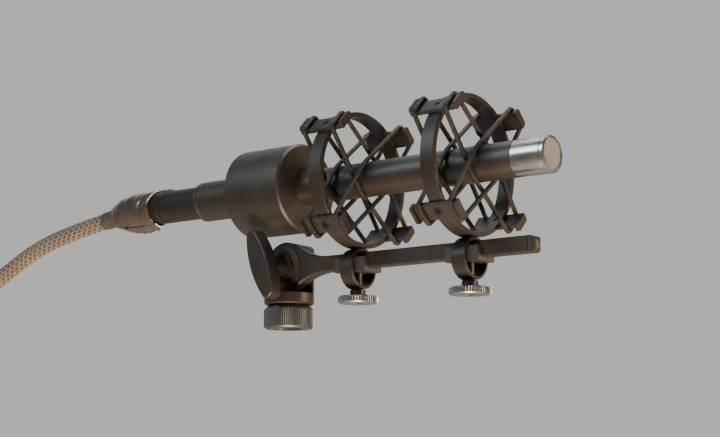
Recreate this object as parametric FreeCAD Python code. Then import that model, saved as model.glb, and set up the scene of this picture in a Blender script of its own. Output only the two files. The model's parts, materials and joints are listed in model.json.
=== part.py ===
import FreeCAD, Part
import math
import os

from FreeCAD import Placement, Rotation, Vector

# An end-address ribbon microphone carried by two elastic suspension rings on a support bar,
# with a friction swivel, a knurled stand ring, and a cable plugged into its rear.
# Millimetres. +X is the way the microphone faces, +Z is up. The origin is the middle of the
# mouth of the stand thread, on the stand's axis. Each function makes one sub-part.

# ---- stand ring and swivel
THREAD_R = 7.45            # 5/8 inch, 27 threads per inch, at its minor diameter
THREAD_LENGTH = 8.0
STAND_RING_R = 13.9
STAND_RING_HEIGHT = 13.0
SPIGOT_R = 9.5
SNAP_RING_DEPTH = 0.7
SNAP_RING_THICK = 1.0
SWIVEL_R = 13.8
SHELF_HEIGHT = 6.0
PIVOT_HEIGHT = 33.8        # tilt axis above the thread's mouth
STUD_R = 4.0
WASHER_THICK = 0.8
WASHER_R = 11.5
CHEEK_GAP = 0.1            # between the arm's eye, its washers and what clamps them

# ---- clamping handle
HANDLE_TURN = 20.0         # how far its wing leans back from upright, in degrees
HANDLE_HEIGHT = 37.0
HANDLE_WAIST = 13.0
HANDLE_TIP = 6.4
HANDLE_THICK = 9.0
BOSS_R = 5.0
BOSS_LENGTH = 12.0
BOSS_FLANGE_R = 7.2

# ---- support bar
BAR_WIDTH = 8.0
BAR_HEIGHT = 8.4
BAR_END_X = 157.5
EYE_R = 14.0
FLARE_END_X = 30.0
BAR_BEVEL = 0.7
END_PLUG_LENGTH = 3.9
END_PLUG_STEM_R = 2.4

# ---- suspension rings
REAR_RING_X = 48.4
RING_SPACING = 72.0
HOOP_R = 37.0
HOOP_THICK = 2.6
BAND_WIDTH = 8.5
STRAP_R = 10.9
STRAP_THICK = 1.5
CLIP_WIDTH = 10.5
CLIP_LENGTH = 28.6
CLIP_THICK = 1.8
CLIP_LIP = 2.3
CLIP_ROUND = 1.0           # along its two long edges, where the elastics bend over it
CLIP_ANGLES = (45.0, 135.0, 225.0, 315.0)
CLIP_SCREW_R = 1.5
CLIP_SCREW_HEAD_R = 2.9
ELASTIC_D = 2.5
ELASTIC_PLANE = 9.5        # each crossed pair's distance from the hoop's middle
ELASTIC_GAP = 0.3          # to the tube that the strands press against
BLOCK_LENGTH = 20.0
BLOCK_WALL = 3.3
BLOCK_FLOOR = 2.0
THUMB_R = 10.8
THUMB_HEIGHT = 4.0
THUMB_NECK_R = 4.2
THUMB_SCREW_R = 2.5
RUNNING = 0.05             # radial clearance of a turning or sliding fit
SEAT = 0.02                # radial clearance of a fixed fit

# ---- microphone
TUBE_R = 9.5
TUBE_WALL = 1.2
CAN_R = 24.8
CAN_WALL = 1.8
CAN_REAR_X = -27.8
CAN_FRONT_X = 12.0
CAN_CAP = 3.0
BARREL_R = 11.45
BARREL_LENGTH = 37.3
SOCKET_R = 8.15
SOCKET_DEPTH = 18.0
HEAD_X = 150.8
HEAD_LENGTH = 16.8
HEAD_WALL = 1.0
RIM_LENGTH = 2.7
RIM_PROUD = 0.1
GRILLE_R = 8.0
GRILLE_THICK = 0.5
GRILLE_LIP = 0.7            # from the mesh to the rim's face
PIN_R = 1.2
PIN_CIRCLE_R = 4.4
PIN_LENGTH = 14.0
PIN_ANGLES = (90.0, 210.0, 330.0)

# ---- transducer
RIBBON_WIDTH = 2.6
RIBBON_LENGTH = 11.6
RIBBON_THICK = 0.12        # a real one is about 0.002
RIBBON_FOLDS = 9
RIBBON_FOLD = 0.5
POLE_GAP = 0.2
POLE_DEPTH = 4.0
MAGNET_DEPTH = 3.5
YOKE_THICK = 2.6
SHIELD_R = 18.0
SHIELD_WALL = 0.8
CORE_SIDE = 21.0
CORE_LENGTH = 16.0
CORE_LEG = 7.0

# ---- cable and its plugs
PLUG_R = 9.5
PLUG_LENGTH = 43.0
NOSE_LENGTH = 14.6
PLUG_BORE = 7.0
GRIP_START = 10.6           # ahead of the shell's rear end
GRIP_RINGS = 5
GRIP_PITCH = 2.0
GRIP_WIDTH = 0.8
GRIP_DEPTH = 0.35
LATCH_WIDTH = 4.8
LATCH_LENGTH = 30.0
LATCH_BUTTON = 10.0
LATCH_PROUD = 1.0
CABLE_D = 10.0
WRAP_LAP = 5.4             # over the shell's rear end
WRAP_PROUD = 0.8
WRAP_END = (-137.6, 75.9)
SHRINK_END = (-149.0, 74.2)
LEAD_ROUTE = (
    SHRINK_END,
    (-180.0, 69.9),
    (-213.0, 62.2),
    (-242.0, 49.4),
    (-274.4, 33.6),
    (-326.9, 4.5),
    (-380.1, -28.7),
)
LEAD_END_FALL = 32.0       # degrees below level where the lead meets the coil
COIL_MEAN_R = 58.0
COIL_ROWS = 3
TAIL_SIDE = 10.0           # the tail leaves the coil's far face
TAIL_LENGTH = 46.0
BOOT_LENGTH = 24.0
FAR_PLUG_LENGTH = 58.0
TIE_WIDTH = 16.0
TIE_THICK = 1.2

# ---- places that follow from them
BAR_BOTTOM = PIVOT_HEIGHT - BAR_HEIGHT / 2
STRAP_Z = BAR_BOTTOM
AXIS_Z = STRAP_Z + STRAP_R + HOOP_R
CHEEK_Y = BAR_WIDTH / 2 + WASHER_THICK + 2 * CHEEK_GAP
SHELF_TOP = STAND_RING_HEIGHT + 0.3 + SHELF_HEIGHT
BARREL_X = CAN_REAR_X - BARREL_LENGTH
INSERT_X = BARREL_X + SOCKET_DEPTH
PLUG_FACE_X = BARREL_X - 0.3
PLUG_REAR_X = PLUG_FACE_X - PLUG_LENGTH
RIM_X = HEAD_X + HEAD_LENGTH
YOKE_X = HEAD_X + 1.6
MAGNET_X = YOKE_X + YOKE_THICK
POLE_X = MAGNET_X + MAGNET_DEPTH
TUBE_REAR_X = CAN_FRONT_X - 4.4
SHIELD_FRONT_X = TUBE_REAR_X - 0.2
X_WAY, Y_WAY, Z_WAY = Vector(1, 0, 0), Vector(0, 1, 0), Vector(0, 0, 1)


def save(node, *solids):
    """Write the node's solids to its STEP file."""
    solids = [s for shape in solids for s in shape.Solids]
    assert solids and all(s.isValid() and s.Volume > 0 for s in solids), node
    shape = solids[0] if len(solids) == 1 else Part.makeCompound(solids)
    shape.exportStep("parts/" + node + ".step")
    print(f"{node:22s} {len(solids):2d} solid(s) {shape.Volume / 1000:9.3f} cm3")


def rod_x(x0, x1, r, y=0.0, z=AXIS_Z):
    return Part.makeCylinder(r, x1 - x0, Vector(x0, y, z), X_WAY)


def rod_y(y0, y1, r, x=0.0, z=PIVOT_HEIGHT):
    return Part.makeCylinder(r, y1 - y0, Vector(x, y0, z), Y_WAY)


def rod_z(z0, z1, r, x=0.0, y=0.0):
    return Part.makeCylinder(r, z1 - z0, Vector(x, y, z0), Z_WAY)


def block(x0, x1, y0, y1, z0, z1):
    return Part.makeBox(x1 - x0, y1 - y0, z1 - z0, Vector(x0, y0, z0))


def turned(outline, x=0.0, z=AXIS_Z, way="x"):
    """Spin a closed outline of (along, radius) points about the X or the Z axis."""
    if way == "x":
        points = [Vector(a, 0, r) for a, r in outline]
        face = Part.Face(Part.makePolygon(points + points[:1]))
        shape = face.revolve(Vector(0, 0, 0), X_WAY, 360)
    else:
        points = [Vector(r, 0, a) for a, r in outline]
        face = Part.Face(Part.makePolygon(points + points[:1]))
        shape = face.revolve(Vector(0, 0, 0), Z_WAY, 360)
    shape.translate(Vector(x, 0, z))
    return shape


def ring(a0, a1, outer, inner, bevel0=0.0, bevel1=0.0, **place):
    """A turned sleeve with a bevel at each outer edge."""
    points = [(a0, inner), (a0, outer - bevel0)]
    if bevel0:
        points.append((a0 + bevel0, outer))
    if bevel1:
        points.append((a1 - bevel1, outer))
    points += [(a1, outer - bevel1), (a1, inner)]
    return turned(points, **place)


def prism_y(edges, y0, y1):
    """A flat outline of edges in the X-Z plane, given thickness along Y."""
    face = Part.Face(Part.Wire(edges))
    face.translate(Vector(0, y0, 0))
    return face.extrude(Vector(0, y1 - y0, 0))


def arc(a, b, c):
    return Part.Arc(a, b, c).toShape()


def line(a, b):
    return Part.LineSegment(a, b).toShape()


def around_axis(shape, angle, z=AXIS_Z):
    """A copy of the shape, turned about the microphone's axis from straight up."""
    turn = Placement(Vector(0, 0, z), Rotation(X_WAY, angle - 90.0))
    copy = shape.copy()
    copy.Placement = turn.multiply(copy.Placement)
    return copy


def swept(edges, r, start, way):
    """A round bar along a path of edges."""
    circle = Part.Wire(Part.Circle(start, way, r).toShape())
    return Part.Wire(edges).makePipeShell([circle], True, False)


# ---------------------------------------------------------------- stand ring and swivel

def stand_ring():
    pocket_floor = THREAD_LENGTH
    body = turned(
        [
            (0, THREAD_R),
            (0, STAND_RING_R - 1.0),
            (1.0, STAND_RING_R),
            (STAND_RING_HEIGHT - 1.8, STAND_RING_R),
            (STAND_RING_HEIGHT, STAND_RING_R - 1.8),
            (STAND_RING_HEIGHT, SPIGOT_R + RUNNING),
            (pocket_floor, SPIGOT_R + RUNNING),
            (pocket_floor, THREAD_R),
        ],
        z=0, way="z",
    )
    groove = snap_ring_space(SPIGOT_R, SPIGOT_R + SNAP_RING_DEPTH)
    return body.cut(groove)


def snap_ring_space(inner, outer, trim=0.0):
    z = THREAD_LENGTH + 2.0
    return ring(z - trim, z + SNAP_RING_THICK + trim, outer, inner, z=0, way="z")


def snap_ring():
    whole = snap_ring_space(SPIGOT_R - SNAP_RING_DEPTH + RUNNING, SPIGOT_R + SNAP_RING_DEPTH - SEAT, -RUNNING)
    opening = block(0, 2 * SPIGOT_R, -2, 2, 0, STAND_RING_HEIGHT)
    return whole.cut(opening)


def swivel_base():
    bottom = THREAD_LENGTH + 0.3
    spigot = rod_z(bottom, STAND_RING_HEIGHT + 0.3, SPIGOT_R)
    spigot = spigot.cut(snap_ring_space(SPIGOT_R - SNAP_RING_DEPTH, SPIGOT_R + 1))
    drum_z = STAND_RING_HEIGHT + 0.3
    top = PIVOT_HEIGHT + SWIVEL_R
    drum = ring(drum_z, top, SWIVEL_R, 0, bevel0=0.8, z=0, way="z")
    above_shelf = block(-20, 20, -20, CHEEK_Y, SHELF_TOP, top + 1)
    round_top = rod_y(-20, 20, SWIVEL_R).fuse(block(-20, 20, -20, 20, 0, PIVOT_HEIGHT))
    body = drum.cut(above_shelf).common(round_top).fuse(spigot)
    return body.cut(rod_y(0, 20, STUD_R + RUNNING))


def friction_washers():
    start = BAR_WIDTH / 2 + CHEEK_GAP
    washers = []
    for y0 in (start, -start - WASHER_THICK):
        disc = rod_y(y0, y0 + WASHER_THICK, WASHER_R)
        washers.append(disc.cut(rod_y(y0 - 1, y0 + 2, STUD_R + 0.1)))
    return washers


def tilt_stud():
    end = SWIVEL_R - 1.4
    start = -CHEEK_Y - BOSS_LENGTH - HANDLE_THICK * 0.6
    return rod_y(start, end, STUD_R)


def tilt_handle():
    """The wing and its boss, drilled for the stud."""
    y1 = -CHEEK_Y - BOSS_LENGTH
    y0 = y1 - HANDLE_THICK
    h, tip, waist = HANDLE_HEIGHT / 2, HANDLE_TIP / 2, HANDLE_WAIST / 2
    top_left, top_right = Vector(-tip, 0, h), Vector(tip, 0, h)
    low_left, low_right = Vector(-tip, 0, -h), Vector(tip, 0, -h)
    wing = prism_y(
        [
            arc(top_left, Vector(0, 0, h + 1.2), top_right),
            arc(top_right, Vector(waist, 0, 0), low_right),
            arc(low_right, Vector(0, 0, -h - 1.2), low_left),
            arc(low_left, Vector(-waist, 0, 0), top_left),
        ],
        y0, y1,
    )
    wing = wing.makeFillet(1.3, wing.Edges)
    wing.rotate(Vector(0, 0, 0), Y_WAY, -HANDLE_TURN)
    wing.translate(Vector(0, 0, PIVOT_HEIGHT))
    boss = rod_y(y1 - 1, -CHEEK_Y, BOSS_R)
    flange = rod_y(-CHEEK_Y - 1.8, -CHEEK_Y, BOSS_FLANGE_R)
    hole = rod_y(y1 - HANDLE_THICK * 0.6 - 0.1, 0, STUD_R + RUNNING)
    return wing.fuse(boss).fuse(flange).cut(hole)


# ---------------------------------------------------------------- support bar

def support_bar():
    """The eye round the pivot flares into a plain bar."""
    h = BAR_HEIGHT / 2
    blend = ((FLARE_END_X**2 + h**2 - EYE_R**2) / (2 * (EYE_R - h)))
    scale = EYE_R / (EYE_R + blend)
    touch_x, touch_z = FLARE_END_X * scale, (h + blend) * scale
    middle = math.atan2(-h - blend + touch_z, touch_x - FLARE_END_X)
    middle = (middle - math.pi / 2) / 2
    mid_x = FLARE_END_X + blend * math.cos(middle)
    mid_z = h + blend + blend * math.sin(middle)
    edges = [
        line(Vector(FLARE_END_X, 0, h), Vector(BAR_END_X, 0, h)),
        line(Vector(BAR_END_X, 0, h), Vector(BAR_END_X, 0, -h)),
        line(Vector(BAR_END_X, 0, -h), Vector(FLARE_END_X, 0, -h)),
        arc(Vector(FLARE_END_X, 0, -h), Vector(mid_x, 0, -mid_z), Vector(touch_x, 0, -touch_z)),
        arc(Vector(touch_x, 0, -touch_z), Vector(-EYE_R, 0, 0), Vector(touch_x, 0, touch_z)),
        arc(Vector(touch_x, 0, touch_z), Vector(mid_x, 0, mid_z), Vector(FLARE_END_X, 0, h)),
    ]
    body = prism_y(edges, -BAR_WIDTH / 2, BAR_WIDTH / 2)
    sides = [e for e in body.Edges if abs(abs(e.CenterOfMass.y) - BAR_WIDTH / 2) < 0.01]
    body = body.makeChamfer(BAR_BEVEL, sides)
    body.translate(Vector(0, 0, PIVOT_HEIGHT))
    body = body.cut(rod_y(-20, 20, STUD_R + RUNNING))
    return body.cut(rod_x(BAR_END_X - 8, BAR_END_X + 1, END_PLUG_STEM_R + SEAT, z=PIVOT_HEIGHT))


def bar_end_plug():
    w, h, x = BAR_WIDTH / 2, BAR_HEIGHT / 2, BAR_END_X + 0.05
    head = block(x, x + END_PLUG_LENGTH, -w, w, PIVOT_HEIGHT - h, PIVOT_HEIGHT + h)
    front = [e for e in head.Edges if e.CenterOfMass.x > x + END_PLUG_LENGTH - 0.01]
    head = head.makeFillet(3.5, front)
    return head.fuse(rod_x(BAR_END_X - 7.5, x + 1, END_PLUG_STEM_R, z=PIVOT_HEIGHT))


# ---------------------------------------------------------------- suspension rings

def hoop(x):
    half = BAND_WIDTH / 2
    band = turned(
        [
            (x - half, HOOP_R - HOOP_THICK),
            (x - half, HOOP_R - 0.5),
            (x - half + 0.5, HOOP_R),
            (x + half - 0.5, HOOP_R),
            (x + half, HOOP_R - 0.5),
            (x + half, HOOP_R - HOOP_THICK),
        ]
    )
    for angle in CLIP_ANGLES:
        hole = rod_z(HOOP_R - 6, HOOP_R + 3, CLIP_SCREW_R + SEAT, x=x)
        band = band.cut(around_axis(hole, angle))
    return band.cut(rod_z(AXIS_Z - HOOP_R - 3, AXIS_Z - HOOP_R + 5, CLIP_SCREW_R + SEAT, x=x))


def clips(x):
    """Four saddle plates with turned-out ends that keep the elastics in place."""
    low, high = HOOP_R - 0.6, HOOP_R + CLIP_THICK
    w, end = CLIP_WIDTH / 2, CLIP_LENGTH / 2
    plate = block(x - end, x + end, -w, w, low, high)
    long_edges = [e for e in plate.Edges if e.Length > CLIP_LENGTH - 0.01 and e.CenterOfMass.z > high - 0.01]
    plate = plate.makeFillet(CLIP_ROUND, long_edges)
    edge = CLIP_THICK
    for side in (-1, 1):
        x0 = x + side * end - (edge if side > 0 else 0)
        lip = block(x0, x0 + edge, -w, w, low, high + CLIP_LIP)
        corners = [e for e in lip.Edges if e.Length < edge + 0.01 and e.CenterOfMass.z > high]
        plate = plate.fuse(lip.makeFillet(1.6, corners))
    plate = plate.cut(rod_x(x - end - 1, x + end + 1, HOOP_R + SEAT, z=0))
    seat = Part.makeCone(
        CLIP_SCREW_R + SEAT, CLIP_SCREW_HEAD_R + SEAT, CLIP_THICK - 0.3, Vector(x, 0, HOOP_R + 0.3), Z_WAY
    )
    plate = plate.cut(seat).cut(rod_z(low - 3, high, CLIP_SCREW_R + SEAT, x=x))
    plate = plate.removeSplitter()
    return [around_axis(plate, angle) for angle in CLIP_ANGLES]


def clip_screws(x):
    high = HOOP_R + CLIP_THICK
    head = Part.makeCone(
        CLIP_SCREW_R, CLIP_SCREW_HEAD_R, CLIP_THICK - 0.3, Vector(x, 0, HOOP_R + 0.3), Z_WAY
    )
    shank = rod_z(HOOP_R - HOOP_THICK - 0.4, HOOP_R + 0.4, CLIP_SCREW_R, x=x)
    slot = block(x - 3.5, x + 3.5, -0.35, 0.35, high - 0.8, high + 1)
    cross = block(x - 0.35, x + 0.35, -3.5, 3.5, high - 0.8, high + 1)
    reach = rod_z(high - 1, high + 1, 1.7, x=x)
    screw = head.fuse(shank).cut(slot.fuse(cross).common(reach))
    return [around_axis(screw, angle) for angle in CLIP_ANGLES]


def elastic_loop(x, angle):
    """One endless elastic, over two opposite clips and along both sides of the tube."""
    r = ELASTIC_D / 2
    slack = 0.15
    corner_r = CLIP_ROUND + slack + r
    top = HOOP_R + CLIP_THICK + slack + r
    corner_t = CLIP_WIDTH / 2 + slack + r - corner_r
    corner_s = top - corner_r
    hug = TUBE_R + ELASTIC_GAP + r
    reach = math.hypot(corner_t, corner_s)
    lean = math.atan2(corner_s, corner_t) - math.acos((hug - corner_r) / reach)
    turn = math.radians(angle)

    def at(t, s):
        return Vector(x, s * math.cos(turn) - t * math.sin(turn), AXIS_Z + s * math.sin(turn) + t * math.cos(turn))

    def on(t, s, radius, a):
        return at(t + radius * math.cos(a), s + radius * math.sin(a))

    edges = []
    for flip in (1, -1):
        def place(t, s, radius, a, flip=flip):
            return on(flip * t, flip * s, radius, a if flip > 0 else a + math.pi)
        up, mid = math.pi / 2, (math.pi / 2 + lean) / 2
        edges += [
            line(place(-corner_t, corner_s, corner_r, up), place(corner_t, corner_s, corner_r, up)),
            arc(*(place(corner_t, corner_s, corner_r, a) for a in (up, mid, lean))),
            line(place(corner_t, corner_s, corner_r, lean), place(0, 0, hug, lean)),
            arc(*(place(0, 0, hug, a) for a in (lean, 0, -lean))),
            line(place(0, 0, hug, -lean), place(corner_t, -corner_s, corner_r, -lean)),
            arc(*(place(corner_t, -corner_s, corner_r, a) for a in (-lean, -mid, -up))),
        ]
    start = at(-corner_t, top)
    return swept(edges, r, start, at(corner_t, top) - start)


def elastics(x):
    apart = ELASTIC_D / 2 + 0.05
    return [
        elastic_loop(x + side * ELASTIC_PLANE + lean * apart, angle)
        for side in (-1, 1)
        for lean, angle in ((-1, 135.0), (1, 45.0))
    ]


def strap(x):
    """The small ring that holds the bar, with a tapped hole underneath."""
    half = BAND_WIDTH / 2
    band = ring(x - half, x + half, STRAP_R, STRAP_R - STRAP_THICK, 0.4, 0.4, z=STRAP_Z)
    band = band.cut(rod_z(STRAP_Z - STRAP_R - 2, STRAP_Z, THUMB_SCREW_R + RUNNING, x=x))
    return band.cut(rod_z(STRAP_Z, STRAP_Z + STRAP_R + 2, CLIP_SCREW_R + SEAT, x=x))


def hoop_rivet(x):
    """Joins the hoop to the strap where they touch."""
    inside_hoop = AXIS_Z - HOOP_R + HOOP_THICK
    inside_strap = STRAP_Z + STRAP_R - STRAP_THICK
    shank = rod_z(inside_strap - 0.4, inside_hoop + 0.4, CLIP_SCREW_R, x=x)
    head = Part.makeCone(2.8, 1.8, 0.9, Vector(x, 0, inside_hoop + 0.14), Z_WAY)
    foot = rod_z(inside_strap - 0.85, inside_strap - 0.3, 2.2, x=x)
    return shank.fuse(head).fuse(foot)


def slide_block(x):
    """A saddle under the bar that the thumbscrew presses upwards."""
    side = BAR_WIDTH / 2 + 0.15
    floor = BAR_BOTTOM - 0.1
    half = BLOCK_LENGTH / 2
    body = block(x - half, x + half, -side - BLOCK_WALL, side + BLOCK_WALL, floor - BLOCK_FLOOR, BAR_BOTTOM + 5.6)
    body = body.cut(block(x - half - 1, x + half + 1, -side, side, floor, BAR_BOTTOM + 10))
    inside = rod_x(x - half - 1, x + half + 1, STRAP_R - STRAP_THICK - 0.1, z=STRAP_Z)
    return body.common(inside)


def thumb_knob(x):
    z0 = STRAP_Z - STRAP_R - 3.6 - THUMB_HEIGHT
    disc = ring(z0, z0 + THUMB_HEIGHT, THUMB_R, 0, 0.7, 0.7, x=x, z=0, way="z")
    return disc.cut(rod_z(z0 + 1, z0 + THUMB_HEIGHT + 1, THUMB_SCREW_R + SEAT, x=x))


def thumb_screw(x):
    knob_top = STRAP_Z - STRAP_R - 3.6
    shank = rod_z(knob_top - THUMB_HEIGHT + 1.2, BAR_BOTTOM - BLOCK_FLOOR - 0.3, THUMB_SCREW_R, x=x)
    neck = ring(knob_top + 0.02, knob_top + 3.3, THUMB_NECK_R, 0, 0, 0.5, x=x, z=0, way="z")
    return shank.fuse(neck)


# ---------------------------------------------------------------- microphone

def xlr_barrel():
    lip = BARREL_X + 2.4
    return turned(
        [
            (BARREL_X, SOCKET_R),
            (BARREL_X, BARREL_R - 0.8),
            (BARREL_X + 0.8, BARREL_R),
            (lip, BARREL_R),
            (lip + 0.4, BARREL_R - 0.5),
            (lip + 1.0, BARREL_R - 0.5),
            (lip + 1.4, BARREL_R),
            (CAN_REAR_X, BARREL_R),
            (CAN_REAR_X, 9.0),
            (CAN_REAR_X + 4.4, 9.0),
            (CAN_REAR_X + 4.4, 7.4),
            (INSERT_X + 6.2, 7.4),
            (INSERT_X + 6.2, SOCKET_R),
        ]
    )


def pin_places(radius=PIN_CIRCLE_R):
    for angle in PIN_ANGLES:
        a = math.radians(angle)
        yield radius * math.cos(a), AXIS_Z + radius * math.sin(a)


def xlr_insert():
    body = rod_x(INSERT_X, INSERT_X + 6.0, SOCKET_R - SEAT)
    for y, z in pin_places():
        body = body.cut(rod_x(INSERT_X - 1, INSERT_X + 7, PIN_R + SEAT, y, z))
    return body


def xlr_pins():
    pins = []
    for y, z in pin_places():
        tip = Part.makeSphere(PIN_R, Vector(INSERT_X - PIN_LENGTH + PIN_R, y, z))
        pins.append(rod_x(INSERT_X - PIN_LENGTH + PIN_R, INSERT_X + 8, PIN_R, y, z).fuse(tip))
    return pins


def can_rear_cap():
    seat = CAN_R - CAN_WALL - SEAT
    face = CAN_REAR_X + CAN_CAP
    return turned(
        [
            (CAN_REAR_X, 9.0 + SEAT),
            (CAN_REAR_X, CAN_R - 1.0),
            (CAN_REAR_X + 1.0, CAN_R),
            (face, CAN_R),
            (face, seat),
            (face + 2.5, seat),
            (face + 2.5, 9.0 + SEAT),
        ]
    )


def can_shell():
    rear = CAN_REAR_X + CAN_CAP
    front_wall = CAN_FRONT_X - 2.4
    return turned(
        [
            (rear, CAN_R - CAN_WALL),
            (rear, CAN_R),
            (CAN_FRONT_X - 1.1, CAN_R),
            (CAN_FRONT_X, CAN_R - 1.1),
            (CAN_FRONT_X, TUBE_R + SEAT),
            (front_wall, TUBE_R + SEAT),
            (front_wall, CAN_R - CAN_WALL),
        ]
    )


def body_tube():
    """The slim body tube, with a flange that seats inside the can's front wall."""
    bore = TUBE_R - TUBE_WALL
    flange_face = CAN_FRONT_X - 2.4 - SEAT
    return turned(
        [
            (TUBE_REAR_X, bore),
            (TUBE_REAR_X, TUBE_R + 2.2),
            (flange_face, TUBE_R + 2.2),
            (flange_face, TUBE_R),
            (HEAD_X - 0.35, TUBE_R),
            (HEAD_X - 0.1, TUBE_R - 0.25),
            (HEAD_X - 0.1, bore),
        ]
    )


def head_shell():
    bore = TUBE_R - HEAD_WALL
    neck = TUBE_R - TUBE_WALL - SEAT
    return turned(
        [
            (HEAD_X - 6.0, neck - 1.2),
            (HEAD_X - 6.0, neck),
            (HEAD_X, neck),
            (HEAD_X, TUBE_R - 0.25),
            (HEAD_X + 0.25, TUBE_R),
            (RIM_X - 0.3, TUBE_R),
            (RIM_X, TUBE_R - 0.3),
            (RIM_X, bore),
            (YOKE_X, bore),
            (YOKE_X, neck - 1.2),
        ]
    )


def head_rim():
    outer = TUBE_R + RIM_PROUD
    pocket = TUBE_R - HEAD_WALL - 0.1
    x0, x1 = RIM_X + 0.05, RIM_X + RIM_LENGTH
    return turned(
        [
            (x0, pocket),
            (x0, outer - 0.3),
            (x0 + 0.3, outer),
            (x1 - 0.5, outer),
            (x1, outer - 0.5),
            (x1, GRILLE_R + 0.3),
            (x1 - 0.3, GRILLE_R),
            (x1 - GRILLE_LIP, GRILLE_R),
            (x1 - GRILLE_LIP, pocket),
        ]
    )


def head_mesh():
    x1 = RIM_X + RIM_LENGTH - GRILLE_LIP
    return rod_x(x1 - GRILLE_THICK, x1, TUBE_R - HEAD_WALL - 0.15)


def wind_screen():
    x1 = RIM_X + RIM_LENGTH - GRILLE_LIP - GRILLE_THICK - 0.05
    return rod_x(RIM_X - 0.2, x1, TUBE_R - HEAD_WALL - 0.2)


def motor_frame():
    """A soft iron yoke disc with a sound passage behind the ribbon and two clamp posts."""
    radius = TUBE_R - HEAD_WALL - SEAT
    disc = rod_x(YOKE_X, YOKE_X + YOKE_THICK, radius)
    passage = block(YOKE_X - 1, YOKE_X + 9, -RIBBON_WIDTH / 2, RIBBON_WIDTH / 2, AXIS_Z - 4, AXIS_Z + 4)
    top = POLE_X + POLE_DEPTH / 2 - RIBBON_FOLD - 0.1
    posts = []
    for side in (-1, 1):
        z = AXIS_Z + side * (RIBBON_LENGTH / 2 - 0.1)
        posts.append(block(YOKE_X + 1, top, -RIBBON_WIDTH / 2, RIBBON_WIDTH / 2, z - 0.9, z + 0.9))
    return disc.cut(passage).fuse(posts)


def side_blocks(x0, x1, near, far):
    """Two blocks, one each side of the ribbon, trimmed to the head's bore."""
    bore = rod_x(x0 - 1, x1 + 1, TUBE_R - HEAD_WALL - 0.1)
    h = RIBBON_LENGTH / 2 - 0.6
    return [
        block(x0, x1, min(s * near, s * far), max(s * near, s * far), AXIS_Z - h, AXIS_Z + h).common(bore)
        for s in (-1, 1)
    ]


def magnets():
    near = RIBBON_WIDTH / 2 + 0.6
    return side_blocks(MAGNET_X, POLE_X, near, near + 4.6)


def pole_pieces():
    near = RIBBON_WIDTH / 2 + POLE_GAP
    return side_blocks(POLE_X, POLE_X + POLE_DEPTH, near, near + 5.0)


def ribbon():
    """A zigzag foil, held at both ends."""
    x = POLE_X + POLE_DEPTH / 2
    pitch = RIBBON_LENGTH / (2 * RIBBON_FOLDS)
    bottom = AXIS_Z - RIBBON_LENGTH / 2
    count = 2 * RIBBON_FOLDS + 1
    rear = [Vector(x - RIBBON_FOLD * (n % 2), 0, bottom + n * pitch) for n in range(count)]
    front = [p + Vector(RIBBON_THICK, 0, 0) for p in reversed(rear)]
    face = Part.Face(Part.makePolygon(rear + front + rear[:1]))
    face.translate(Vector(0, -RIBBON_WIDTH / 2, 0))
    return face.extrude(Vector(0, RIBBON_WIDTH, 0))


def ribbon_clamps():
    """A plate with two screw heads on each end of the ribbon."""
    x = POLE_X + POLE_DEPTH / 2 + RIBBON_THICK + 0.02
    plates = []
    for side in (-1, 1):
        z = AXIS_Z + side * (RIBBON_LENGTH / 2 + 0.2)
        plate = block(x, x + 1.0, -RIBBON_WIDTH, RIBBON_WIDTH, z - 0.7, z + 0.7)
        heads = [rod_x(x + 0.9, x + 1.5, 0.6, s * 1.7, z) for s in (-1, 1)]
        plates.append(plate.fuse(heads))
    return plates


def damping_pad():
    pad = rod_x(HEAD_X - 5.4, YOKE_X - 0.1, TUBE_R - TUBE_WALL - 1.3)
    return pad.cut(rod_x(HEAD_X - 7, YOKE_X + 1, 2.0))


def transformer_shield():
    front, rear = SHIELD_FRONT_X, SHIELD_FRONT_X - CORE_LENGTH - 8
    cup = rod_x(rear, front, SHIELD_R).cut(rod_x(rear - 1, front - SHIELD_WALL, SHIELD_R - SHIELD_WALL))
    return cup.cut(rod_x(front - 2, front + 1, 3.0))


def core_span():
    front = SHIELD_FRONT_X - SHIELD_WALL - 0.1
    return front - CORE_LENGTH, front


def transformer_core():
    """Laminated core with two windows round its middle leg."""
    x0, x1 = core_span()
    half = CORE_SIDE / 2
    body = block(x0, x1, -half, half, AXIS_Z - half, AXIS_Z + half)
    for side in (-1, 1):
        inner, outer = side * CORE_LEG / 2, side * (half - CORE_LEG / 2)
        window = block(x0 + 3, x1 - 3, min(inner, outer), max(inner, outer), AXIS_Z - 20, AXIS_Z + 20)
        body = body.cut(window)
    return body


def transformer_coil():
    """The winding on the middle leg, through both windows."""
    x0, x1 = core_span()
    gap = 0.15
    wide, tall = CORE_SIDE / 2 - CORE_LEG / 2 - gap, CORE_SIDE / 2 + 3
    body = block(x0 + 3 + gap, x1 - 3 - gap, -wide, wide, AXIS_Z - tall, AXIS_Z + tall)
    body = body.makeFillet(2.0, [e for e in body.Edges if abs(e.Length - (x1 - x0 - 6 - 2 * gap)) < 0.01])
    leg, deep = CORE_LEG / 2 + gap, CORE_SIDE / 2 + gap
    return body.cut(block(x0, x1, -leg, leg, AXIS_Z - deep, AXIS_Z + deep))


def lead_wires():
    """Two leads from the ribbon's yoke to the transformer, and three on to the output pins."""
    x0, x1 = core_span()
    wires = [rod_x(x1 + 0.05, YOKE_X - 0.05, 0.4, y) for y in (-1.0, 1.0)]
    return wires + [rod_x(INSERT_X + 8.05, x0 - 0.05, 0.5, y, z) for y, z in pin_places()]


# ---------------------------------------------------------------- plug and cable

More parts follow.
